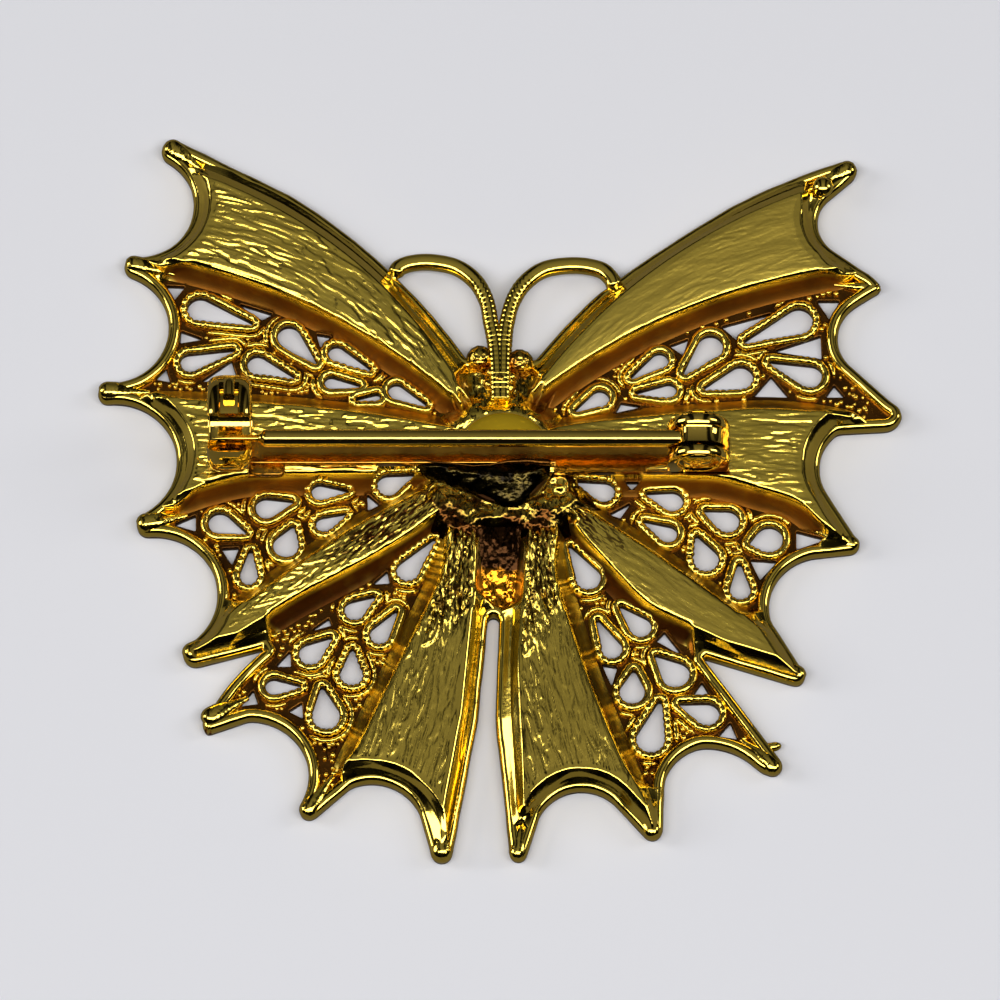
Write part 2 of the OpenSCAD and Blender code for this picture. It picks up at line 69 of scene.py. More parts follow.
# %% The outline, as x share, y share and bulge of the edge to the next row
OUTLINE = [
    (-8.3, 35.4, 0.1), (-52.5, 76.5, 0), (-80.5, 90.2, 0.9), (-84.5, 85.8, -0.79), (-91.3, 61, 0.86),
    (-93.3, 56.5, -0.85), (-98, 29.3, 0.88), (-99, 24.3, -0.84), (-89.3, -3.5, 0.7), (-88.5, -9, -0.775),
    (-76.8, -35.5, 1), (-75, -41.3, 0), (-58.3, -37, 0.09), (-72.3, -52.8, 0.55), (-72.8, -58.3, 0),
    (-62.5, -54.8, -0.59), (-49.8, -75.8, 0.85), (-45.5, -78.5, 0), (-37, -71.3, -0.44), (-19.8, -78.5, 0),
    (-17.3, -87, 1.1), (-11.6, -87, 0), (-5.5, -55, 0), (-3, -30.5, -1.2), (-0.3, -30.5, 0), (-1.2, -55, 0),
    (2.3, -87, 1), (6.8, -88, 0), (10, -78.3, -0.52), (28.5, -75.5, 0), (35.5, -83, 0.75), (40.5, -82, 0),
    (40.8, -71.3, -0.32), (50, -61.5, -0.22), (63.8, -66.5, 0.15), (66.5, -68, 0.8), (70, -65, 0),
    (50.5, -39.2, 0), (73.3, -46, 0.85), (75, -41.8, 0), (67.8, -30.5, -0.44), (78, -14.3, 0),
    (87.5, -13.3, 0.78), (88.8, -9.3, 0), (82.3, 0.8, -0.39), (84.5, 16.8, 0), (97, 17.5, 0.3),
    (100.8, 20.8, 0.3), (98.3, 24.3, 0), (88.8, 32.8, -0.5), (89.3, 48.8, 0), (94.5, 52, 0.7),
    (95.3, 54.5, 0.1), (90.8, 57.8, 0), (83.3, 63, -0.51), (84, 76.8, 0), (88.8, 80.8, 0.88),
    (86.3, 85.3, 0.05), (58.3, 73.8, 0.03), (25, 52, 0.04), (8.8, 35, 0)]
print("outline rows:", len(OUTLINE))

# %% The raised panels, with the same columns
PANELS = {
    "fore_left": [(-75.5, 80.3, -0.41), (-78.3, 62.3, -0.1), (-83.8, 59.5, -0.137), (-9.5, 22.3, 0.3),
                  (-8, 23.5, 0.193)],
    "fore_right": [(75.8, 75.8, 0.155), (8.8, 26.5, 0.3), (8, 24, -0.138), (85, 56.8, 0), (82.5, 57.3, -0.15),
                   (76, 70, 0)],
    "middle_left": [(-86, 24, -0.54), (-80.5, 0, -0.04), (-63.3, 5, 0), (-7.5, 5.3, 0), (-7.5, 16, 0.03),
                    (-50, 22.3, 0.02)],
    "middle_right": [(7.5, 16, 0), (7.5, 5, 0), (55, 4.5, 0.03), (75, -1.3, 0.06), (84, -9.5, -0.05),
                     (77.5, 1, -0.08), (78, 11.5, -0.2), (87.5, 19, 0.1), (55, 21, 0.03)],
    "rib_left": [(-59.5, -24, 0), (-68, -30, -0.05), (-75.8, -38.5, 0.6), (-73.8, -40, 0), (-50, -25, 0.02),
                 (-25, -11.5, 0.03), (-12.5, -2, 0), (-15, 3.5, 0), (-35, -7, 0.03)],
    "rib_right": [(15, 0.5, 0), (18.8, -8.5, 0), (28, -18.5, 0), (36.3, -27.5, 0.05), (43, -30.5, 0),
                  (71.5, -44, 0.7), (74, -42.5, 0), (65, -33.5, 0.03)],
    "tail_left": [(-13, -8, 0), (-14.3, -20, 0), (-37.5, -66.5, -0.42), (-12, -84, 0), (-11, -63.3, 0.02),
                  (-6.5, -29.5, 0), (-5.3, -9, 0)],
    "tail_right": [(6.5, -8, 0), (6, -20, 0), (4.5, -42, 0), (5.8, -68.3, 0), (6, -77.8, -0.15),
                   (18, -67.8, -0.12), (31, -72, 0), (37.5, -82.5, 0.7), (39, -82, 0), (30, -65, 0),
                   (21.3, -44, 0), (13.5, -19.5, 0), (14.5, -8, 0)]}
print("panels:", ", ".join(PANELS))

# %% The gaps: teardrops as round end, tip and width, then the three-cornered ones
TEARDROPS = [
    (-75.3, 48, -62.5, 44.3, 6.3), (-77.8, 34.5, -67, 37.5, 5), (-60.8, 34, -52, 30.8, 5.2),
    (-53, 41, -46.3, 34.3, 6), (-41, 36.8, -32.8, 32.8, 4.4), (-42.3, 29.5, -35.3, 28.6, 3.5),
    (-26, 27.3, -18.8, 23.9, 4.2), (-31, 25.8, -35.8, 25.2, 2.2), (-70, -5.8, -63.8, -8.2, 6),
    (-58.5, -2, -52, -0.5, 5.7), (-45, 2, -38.5, 2.2, 4.5), (-53.5, -11.3, -51.8, -6.8, 6.5),
    (-44, -6, -38.8, -3.6, 4.2), (-62.8, -19, -62.3, -13, 4.6), (-28, 3.8, -22, 6.2, 5.6),
    (-23, -17.5, -16.5, -10, 5.7), (-36.3, -27.5, -31.5, -24.3, 5.4), (-30, -33.5, -26, -28, 5),
    (-47.3, -38.3, -42.3, -34.5, 5.8), (-37, -43.5, -36.8, -37.5, 5.8), (-56.3, -46.5, -50, -46.4, 4.5),
    (-43.3, -53.8, -44.3, -47, 7.2), (75, 45, 61.8, 39.8, 7.2), (77.8, 31, 68, 34.5, 6.3),
    (60.3, 30.8, 51.5, 28, 6.4), (52.8, 38.5, 46.5, 31.8, 6.5), (40, 35, 33.3, 30.8, 4.5),
    (42.3, 27.5, 34.5, 26.8, 4), (25, 25.5, 19.3, 22.5, 4.7), (26, 2, 19.8, 4.5, 5.7),
    (43, -0.3, 37, 1.5, 5.5),
    (42, -8.5, 36.3, -5.5, 4.8), (51.5, -14.8, 49.3, -9.3, 6.5), (56.8, -5.3, 51.3, -2.8, 6.2),
    (67.3, -9.8, 62.8, -10.8, 7.1), (60, -22.5, 59.8, -16.3, 5.2), (22, -19.3, 17.5, -11.8, 6.5),
    (35, -31.5, 30.3, -26.8, 5.6), (28, -37, 24.5, -30.3, 5.2), (43.8, -43.5, 39, -39, 7.2),
    (33, -47.8, 33.3, -42.8, 6.5), (51.5, -53.3, 45, -51, 6.2), (37.5, -59.5, 39.8, -50.5, 7.2)]
CORNER_GAPS = [
    (-83.5, 54, -79.5, 53.8, -81.8, 51), (-65, 49.3, -57.5, 47, -59.8, 45.8),
    (-79.8, 42.5, -75, 40.8, -80, 40), (-84, 33.5, -86, 30.8, -83, 30.2),
    (-74.5, 30.2, -67.5, 35, -66.3, 31.5),
    (-45.8, 41.8, -42.8, 41.3, -45, 39), (-81, -5.8, -76.3, -3.8, -76.3, -7.2),
    (-69.3, -12, -65.5, -11.8, -67, -15.5), (-33, 1.3, -30.5, -0.8, -32.8, -2),
    (-31.3, -20.5, -28.3, -17.8, -27.8, -20.3), (-46.5, -32, -42.8, -29.5, -42.3, -30.8),
    (-55.5, -41, -52.5, -37.8, -52.3, -41), (-64.3, -50.8, -61.5, -47.5, -60.5, -50.3),
    (-52.3, -52.3, -49.5, -50.5, -49.3, -53.8), (80, 50.2, 85, 50.2, 82.8, 46),
    (56, 43.8, 67.8, 47, 60, 40.3),
    (69.5, 37.8, 80.3, 41.3, 80.5, 36), (82, 26.3, 83.8, 28.8, 86, 26.3), (68, 31, 64, 26.5, 72, 26.3),
    (43, 39, 47, 40.5, 45.8, 37), (29.3, 22.5, 30.5, 24.5, 35, 23.8), (31.8, 4.6, 34.5, 4.6, 33, 3.2),
    (27.8, -3.2, 32.3, -0.8, 30, -4), (74.3, -7.8, 81, -9.5, 74.3, -11.8),
    (62.8, -14.8, 68.8, -15.2, 65, -19.3),
    (39.3, -34.8, 41, -33, 45, -38), (25.8, -41, 29, -41.5, 27.8, -45.5),
    (48.3, -48.3, 50.3, -45.5, 52, -48.3), (54.8, -58.3, 57.3, -55.5, 58.8, -59)]
POCKETS = [(-43.8, -59, -40.5, -59, -42, -64), (35.3, -64.5, 39, -64.5, 38, -71)]
print("gaps:", len(TEARDROPS), "teardrops and", len(CORNER_GAPS), "three-cornered")

# %% Antennae as x share, y share and rise in mm, then eyes, head, pad and nub
ANTENNAE = {
    "left": [(-0.6, 24, 0.4), (-0.8, 32.5, 0.3), (-1.3, 38.8, 0.1), (-2.3, 44, 0), (-3.4, 49.5, 0),
             (-6.2, 54.5, 0), (-11, 58, 0), (-17.3, 59.3, 0), (-22.3, 59, 0), (-25.4, 57.8, 0),
             (-26.2, 56.2, 0), (-26.6, 54.8, 0)],
    "right": [(0.8, 24, 0.4), (0.9, 32.5, 0.3), (1.1, 38.8, 0.1), (1.7, 43.8, 0), (3.2, 49.3, 0),
              (6.2, 54, 0), (11.3, 57.5, 0), (18.8, 58.5, 0), (25, 57.5, 0), (27.8, 55.3, 0),
              (28.8, 53, 0), (29.2, 51.6, 0)]}
EYES = {"left": (-5, 35), "right": (5, 34)}
HEAD, PAD, PAD_R = (0, 29), (1, 8.8), 2.8
NUB = [(66.5, -61.5), (70, -60.8)]

# %% [markdown]
# Curved edges are arcs given by a bulge, the height of the arc over half its chord, as in a plotter
# file. Cutting them finer here than in the solids keeps the polished rails smooth in close views.


# %% Arcs and closed paths
def on_circle(centre, radius, angles):
    """Points round a centre. A pair of radii gives an ellipse."""
    return np.asarray(centre) + np.column_stack([np.cos(angles), np.sin(angles)]) * radius


def arc(p, q, bulge, tol=0.004):
    chord = np.linalg.norm(q - p)
    if abs(bulge) < 0.01:
        return [p]
    right = np.array([q[1] - p[1], p[0] - q[0]]) / chord
    radius = chord * (1 + bulge * bulge) / (4 * abs(bulge))
    centre = (p + q) / 2 + right * (bulge * chord / 2 - math.copysign(radius, bulge))
    start, sweep = math.atan2(*(p - centre)[::-1]), 4 * math.atan(bulge)
    count = max(2, math.ceil(abs(sweep) / (2 * math.acos(1 - tol / radius))))
    return on_circle(centre, radius, start + sweep * np.arange(count) / count)


def closed_path(rows, tol=0.004):
    points = []
    for i, row in enumerate(rows):
        points.extend(arc(place(row), place(rows[(i + 1) % len(rows)]), row[2], tol))
    return np.array(points)


def evenly(path, step, closed=True):
    """The same line with points a step apart."""
    line = np.vstack([path, path[:1]]) if closed else np.array(path, float)
    along = np.concatenate([[0], np.cumsum(np.linalg.norm(np.diff(line, axis=0), axis=1))])
    count = max(8, int(round(along[-1] / step)))
    stops = np.linspace(0, along[-1], count, endpoint=not closed)
    return np.stack([np.interp(stops, along, line[:, k]) for k in range(line.shape[1])], axis=1)


def softened(path, turns):
    """Rounds the corners of a closed, even path."""
    for _ in range(turns):
        path = 0.25 * np.roll(path, 1, 0) + 0.5 * path + 0.25 * np.roll(path, -1, 0)
    return path


def way_left(path, closed=True):
    ahead = np.roll(path, -1, 0) - np.roll(path, 1, 0) if closed else np.gradient(path, axis=0)
    ahead = ahead[:, :2] / np.maximum(np.linalg.norm(ahead[:, :2], axis=1, keepdims=True), 1e-9)
    return np.stack([-ahead[:, 1], ahead[:, 0]], axis=1)


def signed_distance(points, loop):
    """Distance to a closed loop, above 0 inside."""
    out = np.empty(len(points))
    ax, ay = np.asarray(loop, np.float32).T
    ex, ey = np.roll(ax, -1) - ax, np.roll(ay, -1) - ay
    per = 1 / np.maximum(ex ** 2 + ey ** 2, 1e-12)
    for s in range(0, len(points), 4000):
        p = points[s:s + 4000].astype(np.float32)
        dx, dy = p[:, :1] - ax, p[:, 1:] - ay
        t = np.clip((dx * ex + dy * ey) * per, 0, 1)
        gap = np.sqrt(((dx - t * ex) ** 2 + (dy - t * ey) ** 2).min(1))
        above = dy < 0
        crossing = above != np.roll(above, -1, 1)
        beside = (dx * ey < dy * ex) == (ey > 0)
        inside = (crossing & beside).sum(1) % 2 == 1
        out[s:s + 4000] = np.where(inside, gap, -gap)
    return out


RIM = closed_path(OUTLINE, 0.01)
print("outline length", round(float(np.linalg.norm(np.diff(RIM, axis=0), axis=1).sum()), 1), "mm")

# %% [markdown]
# Cast and brushed metal is never quite even. A small lattice noise, seeded once, gives the same
# unevenness on every run. Stretched along a panel it becomes brush marks, left round it is grain.


# %% A repeatable noise
LATTICE = np.random.default_rng(11).uniform(-1, 1, (8, 256, 256))


def noise(u, v, layer=0):
    table = LATTICE[layer % 8]
    iu, iv = np.floor(u).astype(int), np.floor(v).astype(int)
    fu, fv = u - iu, v - iv
    fu, fv = fu * fu * (3 - 2 * fu), fv * fv * (3 - 2 * fv)
    near = table[iu & 255, iv & 255] * (1 - fu) + table[(iu + 1) & 255, iv & 255] * fu
    far = table[iu & 255, (iv + 1) & 255] * (1 - fu) + table[(iu + 1) & 255, (iv + 1) & 255] * fu
    return near * (1 - fv) + far * fv


def step_up(low, high, x):
    t = np.clip((x - low) / (high - low), 0, 1)
    return t * t * (3 - 2 * t)


print("noise at a point:", round(float(noise(np.array([1.5]), np.array([2.5]))[0]), 3))

# %% [markdown]
# Shader work. Four effects are used by several finishes, so each is a node group with named
# sockets: the plating's colour, which paints shade by turning dark and orange where light would be
# caught between walls, the brush marks, painted dark reflections streaked along the grain near the
# solder, and the small dents and specks of a polished casting. Each material places a group with
# its own values and keeps its own Principled shader.


# %% Node group helpers
def new_group(name, inputs, outputs):
    tree = bpy.data.node_groups.new(name, "ShaderNodeTree")
    for label, kind, value in inputs:
        socket = tree.interface.new_socket(name=label, in_out="INPUT", socket_type=kind)
        socket.default_value = value
    for label, kind in outputs:
        tree.interface.new_socket(name=label, in_out="OUTPUT", socket_type=kind)
    return tree, tree.nodes.new("NodeGroupInput"), tree.nodes.new("NodeGroupOutput")


def add(tree, kind, settings=(), **values):
    node = tree.nodes.new(kind)
    for key, value in dict(settings).items():
        setattr(node, key, value)
    for label, value in values.items():
        by_number = label[0] == "i" and label[1:].isdigit()
        socket = node.inputs[int(label[1:])] if by_number else node.inputs[label]
        if isinstance(value, bpy.types.NodeSocket):
            tree.links.new(value, socket)
        else:
            socket.default_value = value
    return node


def maths(tree, operation, a, b=0.0, c=0.0):
    return add(tree, "ShaderNodeMath", {"operation": operation}, i0=a, i1=b, i2=c).outputs[0]


def attribute(tree, name, output="Fac"):
    return add(tree, "ShaderNodeAttribute", {"attribute_name": name}).outputs[output]


FLOAT, COLOUR = "NodeSocketFloat", "NodeSocketColor"

# %% Group: plating colour
# The darkening input blends Bright towards Deep. It carries painted shade in hollows, painted dark
# reflections near the solder, and each finish's own deeper tone. Patches vary it at random.
plating, inside, outside = new_group(
    "plating colour",
    [("Bright", COLOUR, (0.9, 0.66, 0.13, 1)), ("Deep", COLOUR, (0.7, 0.28, 0.035, 1)), ("Stain", FLOAT, 0.0),
     ("Patch Size", FLOAT, 900.0), ("Patches", FLOAT, 0.15)],
    [("Colour", COLOUR)])
place_in = plating.nodes.new("ShaderNodeTexCoord").outputs["Object"]
patch = add(plating, "ShaderNodeTexNoise", Vector=place_in, Scale=inside.outputs["Patch Size"], Detail=4.0)
swing = maths(plating, "MULTIPLY_ADD", patch.outputs["Fac"], 2.0, -1.0)
shift = maths(plating, "MULTIPLY_ADD", swing, inside.outputs["Patches"], inside.outputs["Stain"])
mask = add(plating, "ShaderNodeClamp", Value=shift).outputs[0]
blend = add(plating, "ShaderNodeMix", {"data_type": "RGBA"}, Factor=mask,
            i6=inside.outputs["Bright"], i7=inside.outputs["Deep"])
plating.links.new(blend.outputs[2], outside.inputs["Colour"])
print("group:", plating.name, len(plating.nodes), "nodes")

# %% Group: brush marks, drawn out along the grain map
def along_grain(tree, inside, **settings):
    """Noise stretched along the second coordinate of the grain map."""
    split = add(tree, "ShaderNodeSeparateXYZ", Vector=attribute(tree, "grain", "Vector"))
    across = maths(tree, "MULTIPLY", split.outputs["X"], inside.outputs["Across"])
    along = maths(tree, "MULTIPLY", split.outputs["Y"], inside.outputs["Along"])
    lined = add(tree, "ShaderNodeCombineXYZ", X=across, Y=along)
    return add(tree, "ShaderNodeTexNoise", Vector=lined.outputs[0], Scale=1.0, **settings).outputs["Fac"]


brushing, inside, outside = new_group(
    "brush marks",
    [("Along", FLOAT, 0.7), ("Across", FLOAT, 9.0), ("Roughness Low", FLOAT, 0.14),
     ("Roughness High", FLOAT, 0.34), ("Amount", FLOAT, 1.0)],
    [("Height", FLOAT), ("Roughness", FLOAT)])
streak = along_grain(brushing, inside, Detail=3.0, Roughness=0.6)
height = maths(brushing, "MULTIPLY", streak, inside.outputs["Amount"])
span = maths(brushing, "SUBTRACT", inside.outputs["Roughness High"], inside.outputs["Roughness Low"])
rough = maths(brushing, "MULTIPLY_ADD", streak, span, inside.outputs["Roughness Low"])
brushing.links.new(height, outside.inputs["Height"])
brushing.links.new(rough, outside.inputs["Roughness"])
print("group:", brushing.name, len(brushing.nodes), "nodes")

# %% Group: painted dark reflections, streaked along the grain near the solder
painted_streak_group, inside, outside = new_group(
    "painted dark streaks",
    [("Soot", FLOAT, 0.0), ("Along", FLOAT, 1.5), ("Across", FLOAT, 7.0)],
    [("Stain", FLOAT)])
streak = along_grain(painted_streak_group, inside, Detail=2.0, Distortion=0.6)
spread = maths(painted_streak_group, "MULTIPLY_ADD", inside.outputs["Soot"], 0.18, -0.62)
level = maths(painted_streak_group, "MULTIPLY", maths(painted_streak_group, "ADD", streak, spread), 14.0)
dark = add(painted_streak_group, "ShaderNodeClamp", Value=level).outputs[0]
painted_streak_group.links.new(maths(painted_streak_group, "MULTIPLY", dark, inside.outputs["Soot"]), outside.inputs["Stain"])
print("group:", painted_streak_group.name, len(painted_streak_group.nodes), "nodes")

# %% Group: casting skin, fine pits and soft waves
skin, inside, outside = new_group(
    "casting skin",
    [("Grain Size", FLOAT, 5000.0), ("Grain", FLOAT, 0.4), ("Wave Size", FLOAT, 900.0),
     ("Wave", FLOAT, 1.0)],
    [("Height", FLOAT), ("Specks", FLOAT)])
place_in = skin.nodes.new("ShaderNodeTexCoord").outputs["Object"]
fine = add(skin, "ShaderNodeTexNoise", Vector=place_in, Scale=inside.outputs["Grain Size"], Detail=2.0)
slow = add(skin, "ShaderNodeTexNoise", Vector=place_in, Scale=inside.outputs["Wave Size"], Detail=2.0)
fine_part = maths(skin, "MULTIPLY", fine.outputs["Fac"], inside.outputs["Grain"])
sum_part = maths(skin, "MULTIPLY_ADD", slow.outputs["Fac"], inside.outputs["Wave"], fine_part)
speck = maths(skin, "GREATER_THAN", fine.outputs["Fac"], 0.66)
skin.links.new(sum_part, outside.inputs["Height"])
skin.links.new(speck, outside.inputs["Specks"])
print("group:", skin.name, len(skin.nodes), "nodes")


# %% [markdown]
# The finishes. All are the same plating over different metal: mirror-polished rails, satin brushed
# panels, grainy filigree, recesses painted dark brown as shade, and solder burnt black by the torch.
# Some base colours also carry painted shade and painted reflection: darker, oranger gold in hollows
# and under the stem. A metal's look is its base colour, its roughness and how its skin bends
# reflections, so only these three differ.


# %% Gold finishes
# ORANGE, the usual deep colour, is painted reflection of gold on gold where hollow walls darken, and the
# finish's own deeper tone where patches darken at random. The darkest brown is painted shade in the web plate
# and at the foot of the valley, and also darkens the pad beside the solder.
YELLOW, ORANGE, DARKEST_BROWN = (0.95, 0.69, 0.11), (0.24, 0.088, 0.011), (0.03, 0.012, 0.004)
SPECKS_DULL, SHADE_AND_TONE_DULLS = 0.12, 0.36


def gold(name, bright=YELLOW, deep=ORANGE, stain=0.0, mapped=False, patches=0.12, patch_size=900.0,
         roughness=0.14, bump=0.000012, grain=0.4, grain_size=5000.0, wave=1.0, wave_size=900.0,
         brushed=None, painted_streaks_on=False):
    """A mapped finish adds the darkening stored on the mesh, painted shade for the most part. A brushed one
    has to be mapped. bump is in metres.
    """
    material = bpy.data.materials.new(name)
    material.use_nodes = True
    tree = material.node_tree
    tree.nodes.clear()
    shader = add(tree, "ShaderNodeBsdfPrincipled", Metallic=1.0, Roughness=roughness)
    add(tree, "ShaderNodeOutputMaterial", Surface=shader.outputs[0])
    if mapped:
        shade_and_tone_here = attribute(tree, "stain")
        stain = maths(tree, "ADD", shade_and_tone_here, stain)
    if painted_streaks_on:
        streaks = add(tree, "ShaderNodeGroup", {"node_tree": painted_streak_group}, Soot=attribute(tree, "soot"))
        stain = maths(tree, "ADD", stain, streaks.outputs["Stain"])
    colour = add(tree, "ShaderNodeGroup", {"node_tree": plating}, Stain=stain, Patches=patches,
                 Bright=(*bright, 1), Deep=(*deep, 1), **{"Patch Size": patch_size})
    tree.links.new(colour.outputs["Colour"], shader.inputs["Base Color"])
    surface = add(tree, "ShaderNodeGroup", {"node_tree": skin}, Grain=grain, Wave=wave,
                  **{"Grain Size": grain_size, "Wave Size": wave_size})
    height = surface.outputs["Height"]
    if brushed:
        marks = add(tree, "ShaderNodeGroup", {"node_tree": brushing}, **brushed)
        share = attribute(tree, "brushed")
        height = maths(tree, "ADD", maths(tree, "MULTIPLY", marks.outputs["Height"], share), height)
        mixed = add(tree, "ShaderNodeMix", {"data_type": "FLOAT"}, Factor=share, i2=roughness,
                    i3=marks.outputs["Roughness"])
        rough = maths(tree, "MULTIPLY_ADD", shade_and_tone_here, SHADE_AND_TONE_DULLS, mixed.outputs[0])
    else:
        rough = maths(tree, "MULTIPLY_ADD", surface.outputs["Specks"], SPECKS_DULL, roughness)
    tree.links.new(rough, shader.inputs["Roughness"])
    bumped = add(tree, "ShaderNodeBump", Strength=1.0, Distance=bump, Height=height)
    tree.links.new(bumped.outputs[0], shader.inputs["Normal"])
    return material


coarse = {"roughness": 0.12, "bump": 0.000011, "mapped": True,
          "brushed": {"Along": 0.9, "Across": 10.0, "Amount": 1.2, "Roughness Low": 0.1,
                      "Roughness High": 0.36}}
fine = {"Along": 1.6, "Across": 12.0, "Amount": 0.8, "Roughness Low": 0.24, "Roughness High": 0.4}
polished = gold("polished_gold", roughness=0.1, bump=0.00001)
wrinkled = gold("wrinkled_gold", roughness=0.1, bump=0.00005, wave_size=1600)
brushed_coarse = gold("brushed_gold_coarse", **coarse)
brushed_fine = gold("brushed_gold_fine", roughness=0.12, bump=0.000009, grain=1.0, mapped=True, brushed=fine)
# The tail and rib finishes carry painted dark reflections: dark streaks along the grain near the solder,
# blended towards their deep brown.
brushed_tail = gold("brushed_gold_tail", deep=(0.07, 0.034, 0.005), painted_streaks_on=True, **coarse)
brushed_rib = gold("brushed_gold_rib", deep=(0.08, 0.026, 0.005), painted_streaks_on=True, **coarse)
filigree_gold = gold("filigree_gold", stain=0.2, patches=0.5, patch_size=700, roughness=0.13, bump=0.00003,
                     grain=0.8, wave_size=2200)
body_gold = gold("body_gold", deep=(0.075, 0.028, 0.006), mapped=True, patches=1.0, patch_size=700,
                 bump=0.000016, grain=1.0)
# Painted reflection and shade: the valley's orange stands for gold reflected between its walls, going darker
# towards the slot.
valley_shade_gold = gold("valley_shade_gold", (0.8, 0.3, 0.015), DARKEST_BROWN, mapped=True, patches=0.8, roughness=0.16,
                   bump=0.00002, grain=1.0)
# Painted shade: the sunk web plate, pocket floors and solder fillet are a dark brown copy of the gold.
recess_shade_gold = gold("recess_shade_gold", (0.22, 0.085, 0.012), DARKEST_BROWN, stain=0.5, patches=0.8, patch_size=600,
                   roughness=0.25, bump=0.000018, grain=1.0)
finding_gold = gold("finding_gold", (0.78, 0.54, 0.1), patches=0.2, roughness=0.07, bump=0.000005)
head_gold = gold("head_gold", deep=(0.3, 0.1, 0.01), stain=0.5, patches=1.2, patch_size=1100,
                 roughness=0.12, bump=0.00004, grain=1.0, wave_size=1500)
# Painted shade: the bar's gold is a browner, darker copy of the finding's, where it lies under the stem.
bar_shade_gold = gold("bar_shade_gold", (0.75, 0.4, 0.05), (0.16, 0.055, 0.01), stain=0.5, patches=0.9,
                patch_size=600, roughness=0.1, bump=0.00003, wave_size=700)
pad_gold = gold("pad_gold", (1.0, 0.66, 0.03), DARKEST_BROWN, mapped=True, patches=0.05, roughness=0.42,
                bump=0.000005)
burnt_solder = gold("burnt_solder", (0.12, 0.085, 0.02), (0.008, 0.006, 0.004), stain=0.75, patches=1.3,
                    patch_size=1800, roughness=0.2, bump=0.00003, grain=1.4, grain_size=3500)
print("finishes:", len(bpy.data.materials))


# %% [markdown]
# Three ways of making metal cover almost every piece: a wire swept along a line, a sheet of relief
# raised over a drawing, and a ring or rod turned about an axis. Each returns plain vertices and
# faces, and one helper turns them into a piece in metres that rides on its body.


# %% From points to a piece
def piece(name, points, faces, material, body="brooch", slot="cast_gold", maps=None, grain=None,
          on_axis=False):
    """Rides on its body. A sheet's open underside is closed, and points that meet on an axis become one."""
    mesh = bpy.data.meshes.new(name)
    mesh.from_pydata((np.asarray(points, float) * MM).tolist(), [], faces)
    for label, values in (maps or {}).items():
        layer = mesh.attributes.new(label, "FLOAT", "POINT")
        layer.data.foreach_set("value", np.asarray(values, np.float32))
    if grain is not None:
        layer = mesh.attributes.new("grain", "FLOAT_VECTOR", "POINT")
        full = np.zeros((len(grain), 3), np.float32)
        full[:, :2] = grain
        layer.data.foreach_set("vector", full.ravel())
    work = bmesh.new()
    work.from_mesh(mesh)
    if on_axis:
        bmesh.ops.remove_doubles(work, verts=work.verts, dist=1e-8)
        bmesh.ops.delete(work, geom=[e for e in work.edges if not e.link_faces], context="EDGES")
    under = [e for e in work.edges if e.is_boundary]
    if under:
        bmesh.ops.triangle_fill(work, use_beauty=False, use_dissolve=False, edges=under, normal=(0, 0, -1))
    bmesh.ops.recalc_face_normals(work, faces=work.faces)
    work.to_mesh(mesh)
    work.free()
    mesh.polygons.foreach_set("use_smooth", [True] * len(mesh.polygons))
    mesh.materials.append(material)
    made = bpy.data.objects.new(name, mesh)
    bpy.context.scene.collection.objects.link(made)
    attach(made, body)
    return made


def joined(parts):
    """Several (points, faces) as one."""
    points, faces, start = [], [], 0
    for p, f in parts:
        points.append(np.asarray(p, float))
        faces += [tuple(int(i) + start for i in face) for face in f]
        start += len(p)
    return np.vstack(points), faces


# %% Wire swept along a line that lies nearly flat
def wire(path, half_w, half_h, closed=True, sides=10, square=1.0):
    path = np.asarray(path, float)
    n = len(path)
    half_w, half_h = np.broadcast_to(half_w, n), np.broadcast_to(half_h, n)
    left = way_left(path, closed)
    turn = 2 * math.pi * np.arange(sides) / sides
    c = np.sign(np.cos(turn)) * np.abs(np.cos(turn)) ** square
    s = np.sign(np.sin(turn)) * np.abs(np.sin(turn)) ** square
    points = np.empty((n, sides, 3))
    points[..., :2] = path[:, None, :2] + left[:, None, :] * (half_w[:, None] * c)[..., None]
    points[..., 2] = path[:, None, 2] + half_h[:, None] * s
    i, k = np.meshgrid(np.arange(n if closed else n - 1), np.arange(sides), indexing="ij")
    a, b = i * sides + k, i * sides + (k + 1) % sides
    d, e = (i + 1) % n * sides + k, (i + 1) % n * sides + (k + 1) % sides
    faces = np.stack([a, b, e, d], -1).reshape(-1, 4).tolist()
    if not closed:
        faces += [list(range(sides)), [(n - 1) * sides + j for j in range(sides - 1, -1, -1)]]
    return points.reshape(-1, 3), faces


# %% Relief raised over a drawing. Only blocks near the drawing are measured finely.
BLOCK, RIM_GAP, GAP_WALL = 0.6, 0.2, 0.06


